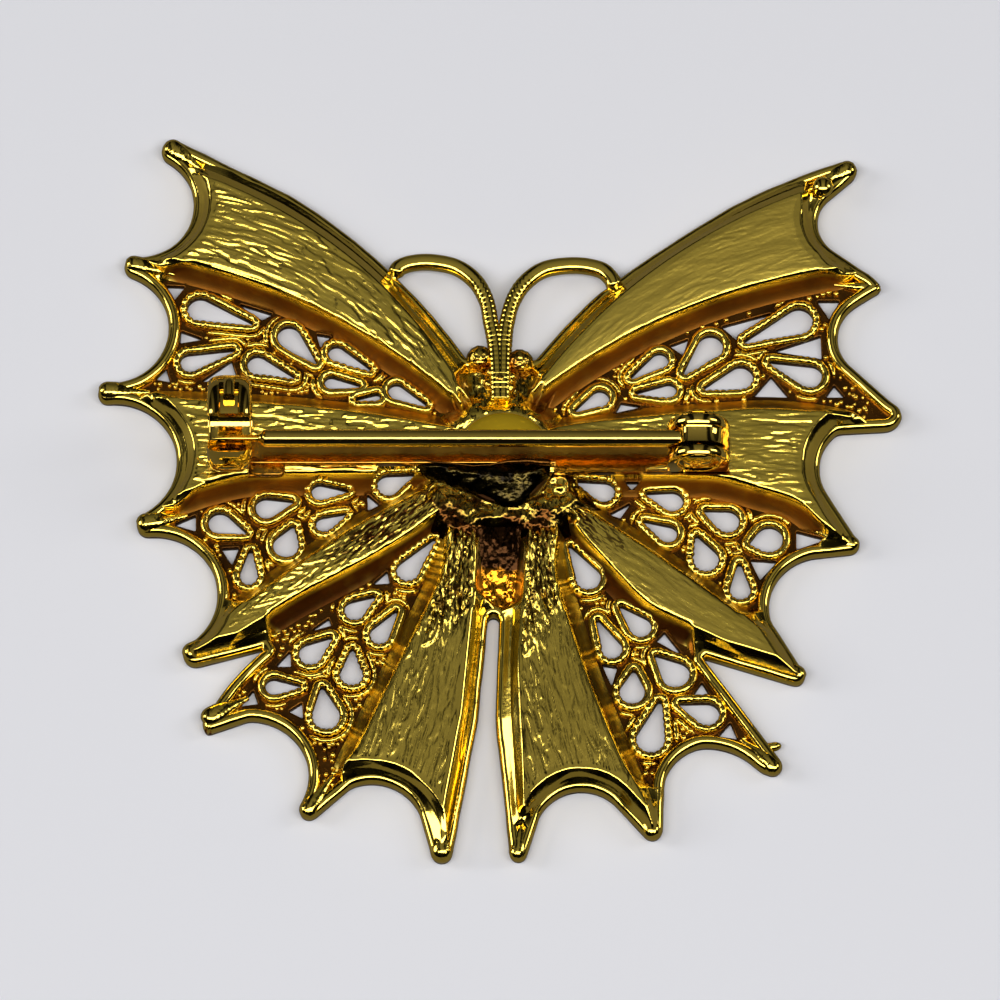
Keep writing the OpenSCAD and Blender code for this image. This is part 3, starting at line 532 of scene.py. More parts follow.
def relief(loop, height, reach, step, floor=0.3):
    """A sheet over the loop and its wall, closed by a skirt down to the floor, with the distance of each
    point to the loop and to the rim."""
    low, high = loop.min(0) - reach - step, loop.max(0) + reach + step
    xs, ys = np.arange(low[0], high[0], step), np.arange(low[1], high[1], step)
    grid = np.stack(np.meshgrid(xs, ys, indexing="ij"), -1).reshape(-1, 2)
    blocks = np.stack(np.meshgrid(np.arange(low[0], high[0] + BLOCK, BLOCK),
                                  np.arange(low[1], high[1] + BLOCK, BLOCK), indexing="ij"), -1)
    near = signed_distance(blocks.reshape(-1, 2), loop).reshape(blocks.shape[:2]) > -reach - 0.5
    cell = np.round((grid - low) / BLOCK).astype(int)
    worth = near[cell[:, 0], cell[:, 1]]
    inner = np.full(len(grid), -9.0)
    inner[worth] = signed_distance(grid[worth], loop)
    keep = inner > -reach
    rim = np.full(len(grid), -1.0)
    rim[keep] = signed_distance(grid[keep], RIM)
    keep &= rim > RIM_GAP
    for gap in gap_paths + pocket_paths:
        near = keep & (np.abs(grid - gap.mean(0)).max(1) < 3.2)
        keep[near] &= signed_distance(grid[near], gap) < -GAP_WALL
    z = np.zeros(len(grid))
    z[keep] = height(grid[keep], inner[keep], rim[keep])
    nx, ny = len(xs), len(ys)
    i, j = np.meshgrid(np.arange(nx - 1), np.arange(ny - 1), indexing="ij")
    a = (i * ny + j).ravel()
    quads = np.stack([a, a + ny, a + ny + 1, a + 1], -1)
    quads = quads[keep[quads].all(1)]
    used = np.unique(quads)
    renumber = np.full(len(grid), -1)
    renumber[used] = np.arange(len(used))
    top = np.column_stack([grid[used], z[used]])
    quads = renumber[quads]
    edges = np.concatenate([quads[:, [k, (k + 1) % 4]] for k in range(4)])
    code = np.sort(edges, 1) @ np.array([len(used), 1])
    _, first, count = np.unique(code, return_index=True, return_counts=True)
    border = edges[first[count == 1]]
    ring = np.unique(border)
    below = np.full(len(used), -1)
    below[ring] = len(used) + np.arange(len(ring))
    points = np.vstack([top, np.column_stack([top[ring, :2], np.full(len(ring), floor)])])
    skirt = np.column_stack([border[:, 1], border[:, 0], below[border[:, 0]], below[border[:, 1]]])
    inner = np.append(inner[used], np.full(len(ring), -1.0))
    rim = np.append(rim[used], np.zeros(len(ring)))
    return points, np.vstack([quads, skirt]).tolist(), inner, rim


# %% Turned rings and rods
def turned(profile, angles, place_ring, closed_turn=True):
    """profile rows are (along, radius). place_ring puts a point at an angle."""
    profile = np.asarray(profile, float)
    n, m = len(angles), len(profile)
    points = np.array([place_ring(u, r, a) for a in angles for u, r in profile])
    i, k = np.meshgrid(np.arange(n if closed_turn else n - 1), np.arange(m), indexing="ij")
    a, b = i * m + k, i * m + (k + 1) % m
    d, e = (i + 1) % n * m + k, (i + 1) % n * m + (k + 1) % m
    faces = np.stack([a, b, e, d], -1).reshape(-1, 4).tolist()
    if not closed_turn:
        faces += [list(range(m)), [(n - 1) * m + j for j in range(m - 1, -1, -1)]]
    return points, faces


def rounded_box(x0, x1, y0, y1, edge, steps=3):
    """A rounded rectangle's corners, for a profile."""
    corners = ((x1 - edge, y1 - edge), (x0 + edge, y1 - edge), (x0 + edge, y0 + edge), (x1 - edge, y0 + edge))
    return np.vstack([on_circle(corner, edge, math.pi / 2 * (k + np.arange(steps + 1) / steps))
                      for k, corner in enumerate(corners)])


def slab(outline, z0, z1, edge, across=None):
    """A plate with rounded edges from a counterclockwise outline. across maps (x, y, z) elsewhere."""
    outline = np.asarray(outline, float)
    rings = []
    for inset, z in ((edge, z0), (0.3 * edge, z0 + 0.3 * edge), (0, z0 + edge), (0, z1 - edge),
                     (0.3 * edge, z1 - 0.3 * edge), (edge, z1)):
        before, after = outline - np.roll(outline, 1, 0), np.roll(outline, -1, 0) - outline
        normal = [np.stack([v[:, 1], -v[:, 0]], 1) / np.linalg.norm(v, axis=1, keepdims=True)
                  for v in (before, after)]
        way = normal[0] + normal[1]
        way /= np.maximum((way * normal[0]).sum(1, keepdims=True), 0.3)
        rings.append(np.column_stack([outline - inset * way, np.full(len(outline), z)]))
    n = len(outline)
    points = np.vstack(rings)
    faces = [list(range(n - 1, -1, -1)), [(len(rings) - 1) * n + k for k in range(n)]]
    for j in range(len(rings) - 1):
        a, b = j * n, (j + 1) * n
        faces += [[a + k, a + (k + 1) % n, b + (k + 1) % n, b + k] for k in range(n)]
    return (points if across is None else np.array([across(p) for p in points])), faces


def bead(centre, radius, flat=1.0, detail=2):
    work = bmesh.new()
    bmesh.ops.create_icosphere(work, subdivisions=detail, radius=1.0)
    points = np.array([v.co[:] for v in work.verts]) * radius * [1, 1, flat] + centre
    faces = [[v.index for v in f.verts] for f in work.faces]
    work.free()
    return points, faces


print("makers ready")

# %% [markdown]
# The web plate is the low sheet that the gaps pierce. A filled two-dimensional curve does this
# best: one closed spline for the outline and one for each gap, extruded and given a small bevel,
# so that every gap gets clean walls. A boolean for each gap would be slower and leave slivers.


# %% Gap outlines
def teardrop_path(row, grow, step=0.1):
    big, tip = place(row), place(row[2:4])
    big_r, tip_r = row[4] * SHARE[0] / 2 + grow, 0.12 + grow
    heading = math.atan2(*(tip - big)[::-1])
    lean = math.acos(np.clip((big_r - tip_r) / np.linalg.norm(tip - big), -1, 1))
    round_end = on_circle(big, big_r, heading + np.linspace(lean, 2 * math.pi - lean, 24))
    narrow = on_circle(tip, tip_r, heading + np.linspace(-lean, lean, 8))
    return evenly(np.vstack([round_end, narrow]), step)


def corner_path(row, corner_r=0.12):
    centres = [place(row[2 * k:2 * k + 2]) for k in range(3)]
    if np.cross(centres[1] - centres[0], centres[2] - centres[0]) <= 0:
        centres = centres[::-1]
    arcs = []
    for k in range(3):
        before, here, after = centres[k - 1], centres[k], centres[(k + 1) % 3]
        a0, a1 = (math.atan2(*(q - p)[::-1]) - math.pi / 2 for p, q in ((before, here), (here, after)))
        a1 += 2 * math.pi if a1 < a0 else 0
        arcs.append(on_circle(here, corner_r, np.linspace(a0, a1, 5)))
    return np.vstack(arcs)


gap_paths = [teardrop_path(row, 0.1) for row in TEARDROPS] + [corner_path(row) for row in CORNER_GAPS]
pocket_paths = [corner_path(row, 0.2) for row in POCKETS]
print("gap paths:", len(gap_paths), "and pockets:", len(pocket_paths))

# %% The web plate
BEVEL = 0.07
curve = bpy.data.curves.new("web_plate", "CURVE")
curve.dimensions = "2D"
curve.fill_mode = "BOTH"
curve.extrude = (PLATE_TOP / 2 - BEVEL) * MM
curve.bevel_depth = BEVEL * MM
curve.bevel_resolution = 1
rim_even = softened(evenly(RIM, 0.12), 4)
plate_rim = rim_even + way_left(rim_even) * 0.12
for path in [plate_rim] + gap_paths + pocket_paths:
    spline = curve.splines.new("POLY")
    spline.points.add(len(path) - 1)
    flat = np.column_stack([path * MM, np.zeros(len(path)), np.ones(len(path))])
    spline.points.foreach_set("co", flat.ravel())
    spline.use_cyclic_u = True
drawn = bpy.data.objects.new("web_plate_curve", curve)
bpy.context.scene.collection.objects.link(drawn)
plate_mesh = bpy.data.meshes.new_from_object(drawn.evaluated_get(bpy.context.evaluated_depsgraph_get()))
bpy.data.objects.remove(drawn)
work = bmesh.new()
work.from_mesh(plate_mesh)
bmesh.ops.remove_doubles(work, verts=work.verts, dist=0.0000003)
bmesh.ops.translate(work, verts=work.verts, vec=(0, 0, PLATE_TOP / 2 * MM))
bmesh.ops.recalc_face_normals(work, faces=work.faces)
work.to_mesh(plate_mesh)
work.free()
plate_mesh.materials.clear()
# The plate's dark brown is painted shade of its recess.
plate_mesh.materials.append(recess_shade_gold)
web_plate = bpy.data.objects.new("web_plate", plate_mesh)
bpy.context.scene.collection.objects.link(web_plate)
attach(web_plate, "brooch")
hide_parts("butterfly_casting")
pocket_rims = [evenly(path, 0.2) for path in pocket_paths]
points, faces = joined([slab(path - way_left(path) * 0.1, 0.02, 0.22, 0.03) for path in pocket_rims])
piece("pocket_floors", points, faces, recess_shade_gold)
print("web plate:", len(plate_mesh.polygons), "faces")

# %% [markdown]
# The wing's edge is a round polished rail that runs along every scallop and round every tip. One
# closed sweep makes it, so that its highlight never breaks. It swells a little at the tips, where
# a finger of metal fills the point.

# %% The rail
RAIL_HALF, RAIL_STEP = 0.36, 0.1
rail_line = softened(evenly(RIM, RAIL_STEP), 3)
rail_line = rail_line + way_left(rail_line) * RAIL_HALF
rail_line = np.column_stack([rail_line, np.full(len(rail_line), 0.53)])
s = np.arange(len(rail_line)) * RAIL_STEP
rail_w = RAIL_HALF * (1 + 0.05 * noise(s / 1.1, s * 0))
rail_h = 0.5 + 0.03 * noise(s / 0.9, s * 0 + 3, 1)
points, faces = wire(rail_line, rail_w, rail_h, sides=16, square=0.85)
points[:, 2] = np.maximum(points[:, 2], 0.01)
piece("wing_rail", points, faces, polished)
print("rail:", len(points), "points")

# %% Fingers in the tips
fingers = []
for i, row in enumerate(OUTLINE):
    if row[2] < 0.5:
        continue
    p, q = place(row), place(OUTLINE[(i + 1) % len(OUTLINE)])
    chord = np.linalg.norm(q - p)
    out = np.array([q[1] - p[1], p[0] - q[0]]) / chord
    end = (p + q) / 2 + out * chord / 2 * min(row[2], 1)
    ways = on_circle((0, 0), 1, math.atan2(-out[1], -out[0]) + np.radians(np.arange(-70, 71, 5)))
    room = sum(np.minimum(signed_distance(end + ways * reach, RIM), 1.5) for reach in (1.0, 2.0, 3.0))
    out = -ways[room.argmax()]
    t = np.linspace(0.02, 1, 26)
    nose = np.sqrt(1 - (1 - np.minimum(t / 0.2, 1)) ** 2)
    radius = min(0.62, chord * 0.47) * nose * (1 - 0.75 * step_up(0.3, 1, t))
    line = end - out * (t * 3.0)[:, None]
    line = np.column_stack([line, 0.62 + 0.12 * (1 - t)])
    fingers.append(wire(line, radius + 0.01, radius * 0.85 + 0.01, closed=False, sides=14))
points, faces = joined(fingers)
piece("tip_fingers", points, faces, wrinkled)
print("fingers in", len(fingers), "tips")

# %% [markdown]
# Each teardrop gap is edged by its own wire loop, half sunk in the plate. Real filigree wire is
# beaded: a row of grains pressed into it. Swelling and pinching the sweep's radius gives true
# geometry for the grains, which a bump map could not show along the wire's outline.

# %% Beaded loops
rng = np.random.default_rng(5)
WIRE_R, WIRE_STEP = 0.265, 0.07


def uneven(s, size, layer):
    """Noise along a line, starting anywhere."""
    return noise(s / size, s * 0 + rng.uniform(0, 99), layer)


loops = {"left": [], "right": []}
for row in TEARDROPS:
    path = teardrop_path(row, 0.22, WIRE_STEP)
    s = np.arange(len(path)) * WIRE_STEP
    pitch = s[-1] / max(6, round(s[-1] / rng.uniform(0.36, 0.44)))
    strong = rng.uniform(0.55, 1.0)
    patchy = step_up(-0.6, 0.2, uneven(s, 1.8, 2)) * strong
    grainy = np.abs(np.sin(math.pi * s / pitch)) ** 0.8
    radius = WIRE_R * (1 + 0.09 * uneven(s, 0.5, 3)) * (1 - 0.34 * patchy * (1 - grainy))
    wander = way_left(path) * (0.03 * uneven(s, 1.3, 4))[:, None]
    lift = 0.64 + 0.05 * uneven(s, 1.7, 5)
    line = np.column_stack([softened(path + wander, 1), lift])
    loops["left" if row[0] < 0 else "right"].append(wire(line, radius, radius * 1.15))
for side, parts in loops.items():
    points, faces = joined(parts)
    piece("filigree_" + side, points, faces, filigree_gold)
    print("filigree", side, len(parts), "loops,", len(faces), "faces")

# %% [markdown]
# Between the loops the filigree isn't bare: thinner wire runs beside a loop wherever there is room,
# and loose grains fill the wide spots. Both keep clear of gaps, rails and panels, so the panels'
# outlines come first. Measuring the room lets one rule place them all, where a list would collide.


# %% Panel outlines with their gentle bends rounded
def eased(path, turns=50, near=6):
    """Takes the corners out of gentle bends and leaves sharp ones."""
    before, after = path - np.roll(path, near, 0), np.roll(path, -near, 0) - path
    cross = before[:, 0] * after[:, 1] - before[:, 1] * after[:, 0]
    turn = np.abs(np.arctan2(cross, (before * after).sum(1)))
    free = 1 - step_up(math.radians(34), math.radians(50), turn)
    for k in range(-near, near + 1):
        free = np.minimum(free, np.roll(1 - step_up(math.radians(50), math.radians(60), turn), k))
    for _ in range(turns):
        path = path + (softened(path, 1) - path) * free[:, None]
    return softened(path, 1)


panel_loops = {name: eased(evenly(closed_path(rows, 0.01), 0.15)) for name, rows in PANELS.items()}
print("panel outlines:", len(panel_loops))

# %% Thinner wire doubled round the loops, where there is room
THIN_R, THIN_STEP, THIN_PITCH = 0.17, 0.08, 0.34
hole_paths = [teardrop_path(row, 0.0) for row in TEARDROPS]


def room_for(points, mine=-1, holes=0.62, rim=0.82, wall=0.95, corner=0.3):
    free = signed_distance(points, RIM) > rim
    for loop in panel_loops.values():
        free[free] &= signed_distance(points[free], loop) < -wall
    for k, path in enumerate(hole_paths):
        if k != mine:
            free[free] &= signed_distance(points[free], path) < -holes
    for row in CORNER_GAPS:
        free[free] &= signed_distance(points[free], corner_path(row)) < -corner
    return free


doubled = []
for k, row in enumerate(TEARDROPS):
    path = teardrop_path(row, 0.66, THIN_STEP)
    free = room_for(path, k)
    if free.all():
        free[0] = False
    start = int(np.argmin(free))
    path, free = np.roll(path, -start, 0), np.roll(free, -start)
    edges = np.flatnonzero(np.diff(np.concatenate([[0], free.astype(int), [0]])))
    for first, last in zip(edges[::2], edges[1::2]):
        if last - first < 9:
            continue
        run = path[first:last]
        s = np.arange(len(run)) * THIN_STEP
        taper = np.sqrt(np.clip(np.minimum(s, s[-1] - s) / 0.3, 0.05, 1))
        grainy = np.abs(np.sin(math.pi * s / THIN_PITCH)) ** 0.8
        size = THIN_R * taper * (0.78 + 0.22 * grainy) * (1 + 0.12 * noise(s / 0.5, s * 0 + k, 5))
        line = np.column_stack([run, 0.56 + 0.06 * taper])
        doubled.append(wire(line, size, size * 1.2, closed=False, sides=8))
points, faces = joined(doubled)
piece("filigree_doubled", points, faces, filigree_gold)
print("doubled wire in", len(doubled), "runs")

# %% Grains where the plate is wide between the loops
spots = np.stack(np.meshgrid(np.arange(-21, 21, 0.34), np.arange(-18, 13, 0.3), indexing="ij"), -1)
spots[:, ::2, 0] += 0.17
spots = spots.reshape(-1, 2) + rng.uniform(-0.11, 0.11, (spots.size // 2, 2))
for run in doubled:
    taken = run[0][::8, :2]
    spots = spots[np.array([np.abs(taken - q).max(1).min() > 0.25 for q in spots])]
free = room_for(spots, holes=0.56, corner=0.15)
grains = [bead((x, y, PLATE_TOP + rng.uniform(-0.02, 0.08)), rng.uniform(0.1, 0.19))
          for x, y in spots[free] if rng.random() < 0.7]
points, faces = joined(grains)
piece("filigree_grains", points, faces, filigree_gold)
print("grains:", len(grains))

# %% [markdown]
# The raised panels carry the look of the wings: satin plateaus with brush marks along them, a
# crisp shoulder and a wall that flares out to the web. Each is a relief over its drawing, with a
# height for every point. Offset rings would fold at the long thin tips, and a relief does not.

# %% Each panel's surface: root and tip of the grain, its bow, depth and kind of the marks, finish
GRAIN = {
    "fore_left": ((-8, 22), (-80, 70), -0.12, 0.036, "brushed", brushed_coarse),
    "fore_right": ((8, 24), (80, 66), 0.1, 0.007, "brushed", brushed_fine),
    "middle_left": ((-8, 10), (-84, 12), 0.0, 0.034, "brushed", brushed_coarse),
    "middle_right": ((8, 10), (86, 8), 0.0, 0.022, "brushed", brushed_coarse),
    "rib_left": ((-13, 0), (-75, -40), 0.05, 0.026, "grainy", brushed_rib),
    "rib_right": ((16, -4), (73, -43), -0.03, 0.01, "brushed", brushed_rib),
    "tail_left": ((-8, -7), (-22, -80), 0.03, 0.085, "tail", brushed_tail),
    "tail_right": ((9, -7), (24, -76), -0.03, 0.085, "tail", brushed_tail)}


def grain_map(points, name):
    """Millimetres across and along the grain."""
    root, tip, bow = place(GRAIN[name][0]), place(GRAIN[name][1]), GRAIN[name][2]
    chord = np.linalg.norm(tip - root)
    ahead = (tip - root) / chord
    along = (points - root) @ ahead
    across = (points - root) @ np.array([-ahead[1], ahead[0]])
    return np.column_stack([across - 4 * bow * along * (chord - along) / chord, along])


def panel_height(name):
    depth, kind = GRAIN[name][3:5]

    def height(points, inner, rim):
        u, v = grain_map(points, name).T
        u, v = u + 0.08 * noise(u / 0.6, v / 0.9, 6), v + 0.9 * noise(u / 0.17, v / 3.0, 5)
        x = -inner
        fall_from = 0.06 * np.log1p(np.exp(np.clip(x / 0.06, -40, 40)))
        fall = (1 - np.exp(-2.4 * fall_from / WALL_FLARE)) / (1 - math.exp(-2.4))
        top = PANEL_T - 0.06 + 0.05 * (1 - np.exp(-np.maximum(inner, 0) / 0.9))
        z = top - (top - PLATE_TOP + 0.08) * fall
        beside = 1 - step_up(1.45, 2.0, np.maximum(x, 0) + rim)
        share = np.clip(np.maximum(x, 0) / np.maximum(np.maximum(x, 0) + rim - 0.3, 0.2), 0, 1)
        band = top - (top - 0.98) * (1.2 * share - 0.2 * share ** 2)
        band -= 0.035 * np.exp(-((share - 0.5) / 0.07) ** 2)
        z = np.where(beside > 0, np.maximum(z, z + (band - z) * beside), z)
        brushed = step_up(0.06, 0.3, inner) * step_up(1.0, 1.4, rim)
        marks = 2 * step_up(-0.2, 0.2, noise(u / 0.15, v / 0.8, 0)) - 1 + 0.5 * noise(u / 0.12, v / 0.4, 1)
        if kind == "grainy":
            marks = 2 * step_up(-0.3, 0.3, noise(u / 0.17, v / 0.26, 2)) - 1
            marks += 0.5 * noise(u / 0.12, v / 0.13, 3)
        if kind == "tail":
            near = 1 - step_up(4.5, 8.0, v + 1.5 * noise(u / 0.5, v / 2, 4))
            marks = (0.3 + near) * marks + 2.2 * near * noise(u / 0.17, v / 0.32, 5)
        patchy = 0.45 + 0.55 * step_up(-0.5, 0.2, noise(u / 1.5, v / 2.4, 7))
        wave = 0.02 * noise(u / 0.9, v / 2.5, 6) * step_up(-0.2, 0.3, inner)
        root = 1 - step_up(-0.5, 1.0, v)
        z += brushed * depth * patchy * marks + wave - 0.6 * root
        cap = 0.99 + 0.97 * np.sin(np.pi / 2 * np.clip((rim - 0.3) / 1.0, 0, 1))
        return np.maximum(np.minimum(z, cap), 0.12)

    return height


# %% Make the panels. The painted dark streaks thin out between two distances from the root, in millimetres.
PAINTED_STREAK_REACH = {"tail_left": (5.0, 9.0), "tail_right": (4.2, 8.2), "rib_left": (5.0, 11.0), "rib_right": (2.0, 6.0)}
NO_PAINTED_STREAKS = (-9.0, -8.0)


# Painted dark reflections: how far along the grain the dark streaks reach from the root.
def soot(name, points):
    u, v = grain_map(points, name).T
    return 1 - step_up(*PAINTED_STREAK_REACH.get(name, NO_PAINTED_STREAKS), v + 1.5 * noise(u / 0.5, v / 2, 4))


for name, loop in panel_loops.items():
    points, faces, inner, rim = relief(loop, panel_height(name), WALL_FLARE + 0.15, 0.062)
    flat = points[:, :2]
    # Painted shade: each wall darkens towards its finish's deep colour the lower it falls below the top, most
    # on the side that faces the tails.
    deep = np.clip((PANEL_T - 0.22 - points[:, 2]) / 0.45, 0, 1) * step_up(0.9, 1.5, rim)
    toward_tail = signed_distance(flat + [0, 0.3], loop) - signed_distance(flat - [0, 0.3], loop)
    stain = deep * (0.7 + 0.3 * np.clip(toward_tail / 0.4, 0, 1)) * (0.85 if name.startswith("tail") else 1)
    # The third map marks where the painted dark reflections streak the panel.
    maps = {"stain": stain, "brushed": step_up(0.05, 0.3, inner) * step_up(1.2, 1.5, rim),
            "soot": soot(name, flat) * step_up(0.1, 0.3, inner)}
    piece("panel_" + name, points, faces, GRAIN[name][5], maps=maps, grain=grain_map(flat, name))
    print("panel", name, len(faces), "faces")

# %% [markdown]
# In the middle the wings run into a rough mass of cast metal, with painted shade where it sinks to
# the plate and towards the tails, and below it a valley leads to the slot between the tails, painted
# orange and dark as the reflection and shade of a hollow. Both are reliefs again. Noise of several
# sizes makes them read as cast metal, where one smooth dome would read as plastic.

# %% The body
BODY = [(-17, 14, 0), (-22, -3, 0), (-17, -8, 0), (-13, -12, 0), (-6, -13, 0), (-3, -10, 0), (0, -9, 0),
        (4, -10, 0), (7, -13, 0), (13, -11, 0), (18, -8, 0), (24, -3, 0), (17, 14, 0), (8.8, 26, 0),
        (7.8, 33, 0), (0, 36, 0), (-7.3, 33.5, 0), (-9, 26, 0)]


def body_height(points, inner, rim):
    x, y = points.T
    swell = step_up(-1.0, 1.3, inner)
    lumps = 0.12 * noise(x / 0.7, y / 0.5, 1) + 0.05 * noise(x / 0.26, y / 0.3, 2)
    lumps += 0.035 * noise(x / 0.13, y / 0.16, 3)
    top = PLATE_TOP - 0.1 + swell * (1.42 - 0.75 * step_up(4.6, 6.4, y) + lumps)
    near_pad = np.linalg.norm(points - place(PAD), axis=1) < PAD_R + 0.15
    return np.where(near_pad, np.minimum(top, 1.75), top)


body_loop = softened(evenly(closed_path(BODY), 0.15), 6)
points, faces = relief(body_loop, body_height, 1.0, 0.07)[:2]
# Painted shade: the body darkens where it sinks to the plate and towards the tails.
edge = np.clip((1.5 - points[:, 2]) / 0.6, 0, 1)
lower = step_up(1.5, -1.5, points[:, 1])
piece("body", points, faces, body_gold, maps={"stain": 0.1 + 0.5 * edge + 0.85 * lower})
print("body", len(faces), "faces")

# %% The valley between the tails
VALLEY = [(-5.5, -8, 0), (-4.5, -26, 0), (-1.5, -29.3, 0), (0.8, -29.3, 0), (3.2, -26, 0), (5, -8, 0)]


def valley_height(points, inner, rim):
    x, y = points.T
    rise = step_up(-6.8, -1.5, y)
    rough = (0.06 * noise(x / 0.3, y / 0.5, 1) + 0.045 * noise(x / 0.16, y / 0.2, 4)) * (1 - 0.6 * rise)
    return 0.62 + 0.75 * rise + 0.25 * (x / 1.2) ** 2 + rough


valley_loop = softened(evenly(closed_path(VALLEY), 0.15), 4)
points, faces = relief(valley_loop, valley_height, 0.1, 0.06)[:2]
# Painted shade: the valley turns dark towards the slot between the tails.
dark = step_up(-5.2, -3.6, points[:, 1] + 0.5 * noise(points[:, 0] / 0.5, points[:, 1] / 0.5, 2))
piece("tail_valley", points, faces, valley_shade_gold, maps={"stain": 1.3 * dark})
print("valley", len(faces), "faces")

# %% [markdown]
# The head is a bead with smaller ones pressed on it, between two bead eyes. The antennae are wires
# swept through a few points, notched on their lower half by a pinched radius like the filigree. The
# bare round pad, which carries the pin bar, is simply turned.


# %% Antennae
ANTENNA_R, ANTENNA_STEP = 0.47, 0.05


def through(rows, step):
    """A smooth line through points, four at a time."""
    p = np.array([[*place(r), 1.0 + r[2]] for r in rows])
    p = np.vstack([2 * p[0] - p[1], p, 2 * p[-1] - p[-2]])
    line = []
    for i in range(1, len(p) - 2):
        for t in np.linspace(0, 1, 12, endpoint=False):
            line.append(0.5 * (2 * p[i] + (p[i + 1] - p[i - 1]) * t
                               + (2 * p[i - 1] - 5 * p[i] + 4 * p[i + 1] - p[i + 2]) * t ** 2
                               + (3 * p[i] - p[i - 1] - 3 * p[i + 1] + p[i + 2]) * t ** 3))
    return evenly(np.array(line), step, closed=False)


for side, rows in ANTENNAE.items():
    line = through(rows, ANTENNA_STEP)
    s = np.arange(len(line)) * ANTENNA_STEP
    notched = 1 - step_up(0.42, 0.62, s / s[-1])
    ridge = np.abs(np.sin(math.pi * s / 0.3)) ** 0.7 * (0.7 + 0.3 * noise(s / 0.5, s * 0, 3))
    radius = ANTENNA_R * (1 - 0.1 * notched * (1 - ridge)) * (0.35 + 0.65 * step_up(0, 0.5, s[-1] - s))
    points, faces = wire(line, radius, radius * 0.95, closed=False, sides=18, square=0.8)
    piece("antenna_" + side, points, faces, polished)
    print("antenna", side, round(float(s[-1]), 1), "mm long")

# %% Eyes and head, and a small boss near the tip of the right fore wing
EYE_R, HEAD_R, HEAD_Z, BOSS_AT, BOSS_R = 0.78, 0.95, 0.95, (18.56, 18.9, 1.35), 0.6
for side, spot in EYES.items():
    centre = np.array([*place(spot), HEAD_Z])
    points, faces = bead(centre, EYE_R, detail=5)
    bumps = noise(points[:, 0] / 0.16, points[:, 1] / 0.16 + points[:, 2] / 0.2, 1)
    points = centre + (points - centre) * (1 + 0.035 * bumps)[:, None]
    piece("eye_" + side, points, faces, head_gold)
head_at = place(HEAD)
grains = [bead((*head_at, HEAD_Z), HEAD_R, 0.8, 3)]
for ring_r, count, lift, size in ((0, 1, 1.5, 0.4), (0.66, 6, 1.3, 0.36)):
    for k in range(count):
        a = 2 * math.pi * (k + 0.3) / count
        at = head_at + ring_r * np.array([math.cos(a), 1.1 * math.sin(a)])
        grains.append(bead((*at, lift), size * rng.uniform(0.85, 1.1), detail=3))
points, faces = joined(grains)
piece("head_beads", points, faces, head_gold)
print("head of", len(grains), "beads")

piece("tip_boss", *bead(BOSS_AT, BOSS_R, 0.8, 4), polished)

# %% Pad and nub
pad_at = place(PAD)
profile = [(SEAT_T - 0.02, 0), (SEAT_T - 0.03, 1.5), (SEAT_T - 0.06, 2.4), (SEAT_T - 0.14, 2.7),
           (SEAT_T - 0.3, PAD_R), (1.2, PAD_R), (1.2, 0)]
points, faces = turned(profile, np.radians(np.arange(0, 360, 4)),
                       lambda z, r, a: (pad_at[0] + r * math.cos(a), pad_at[1] + r * math.sin(a), z))
# The pad is darker on its half towards the tails, where the solder lies.
pad_lower_half = step_up(0.2, -0.2, points[:, 1] - pad_at[1] + 0.3)
piece("round_pad", points, faces, pad_gold, maps={"stain": pad_lower_half}, on_axis=True)
a, b = (place(p) for p in NUB)
t = np.linspace(0, 1, 14)
line = np.column_stack([a + (b - a) * t[:, None], np.full(14, 0.5)])
size = 0.27 * np.sqrt(np.clip(1 - (2 * np.maximum(t, 0.5) - 1) ** 2, 0.02, 1))
points, faces = wire(line, size, size, closed=False, sides=12)
piece("cast_nub", points, faces, polished)
print("pad radius", PAD_R, "mm")

# %% [markdown]
# The pin finding is stamped and turned, so its edges are crisp and its faces are the brightest. Its
# base bar widens towards the hinge, ends in a round catch housing, and is held by a lump of solder.

# %% Base bar, with a lug beside the catch
x0, x1, wide_from = -CATCH_X - BARREL_W / 2, HINGE_X + 1.8, HINGE_X - 8.2
narrow, wide = BAR_W / 2, BAR_WIDE_W / 2
bar_outline = np.array([(x0, -narrow), (wide_from, -narrow), (wide_from, -wide), (x1, -wide), (x1, wide),
                        (wide_from, wide), (wide_from, narrow), (x0, narrow)])
bar = slab(bar_outline + [0, PIN_Y], SEAT_T - 0.05, SEAT_T + BAR_T, 0.08)
lug_x, lug_half = -CATCH_X + BARREL_W / 2, 0.4
lug_end = on_circle((lug_x + 1.5, 0), lug_half, np.radians(np.arange(-90, 91, 15)))
lug_outline = np.vstack([(lug_x - 0.2, -lug_half), lug_end, (lug_x - 0.2, lug_half)])
lug = slab(lug_outline + [0, PIN_Y - narrow - lug_half + 0.1], SEAT_T - 0.05, SEAT_T + BAR_T - 0.02, 0.1)
points, faces = joined([bar, lug])
base_bar = piece("base_bar", points, faces, bar_shade_gold, slot="finding_gold")
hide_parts("pin_bar")
print("bar", round(x1 - x0, 2), "mm long")


# %% Catch housing
def round_catch(u, r, a):
    """Angles run from straight up towards the tails."""
    return (-CATCH_X + u, BARREL_Y - r * math.sin(a), BARREL_Z + r * math.cos(a))


def barrel_band(u0, u1, edge=0.09):
    """A band of the barrel's wall between two widths. The barrel is rounder towards its ends."""
    bore = BARREL_R - 0.55
    us = np.linspace(u0, u1, 15)
    outer = bore + 0.05 + 0.5 * np.sqrt(np.clip(1 - np.abs(us / (BARREL_W / 2 + 0.01)) ** 3.2, 0, 1))
    for end, inner_edge in ((0, abs(u0) < 1), (-1, abs(u1) < 1)):
        outer[end] -= edge if inner_edge else 0
    return list(zip(us, outer))[::-1] + [(u0, bore), (u1, bore)]


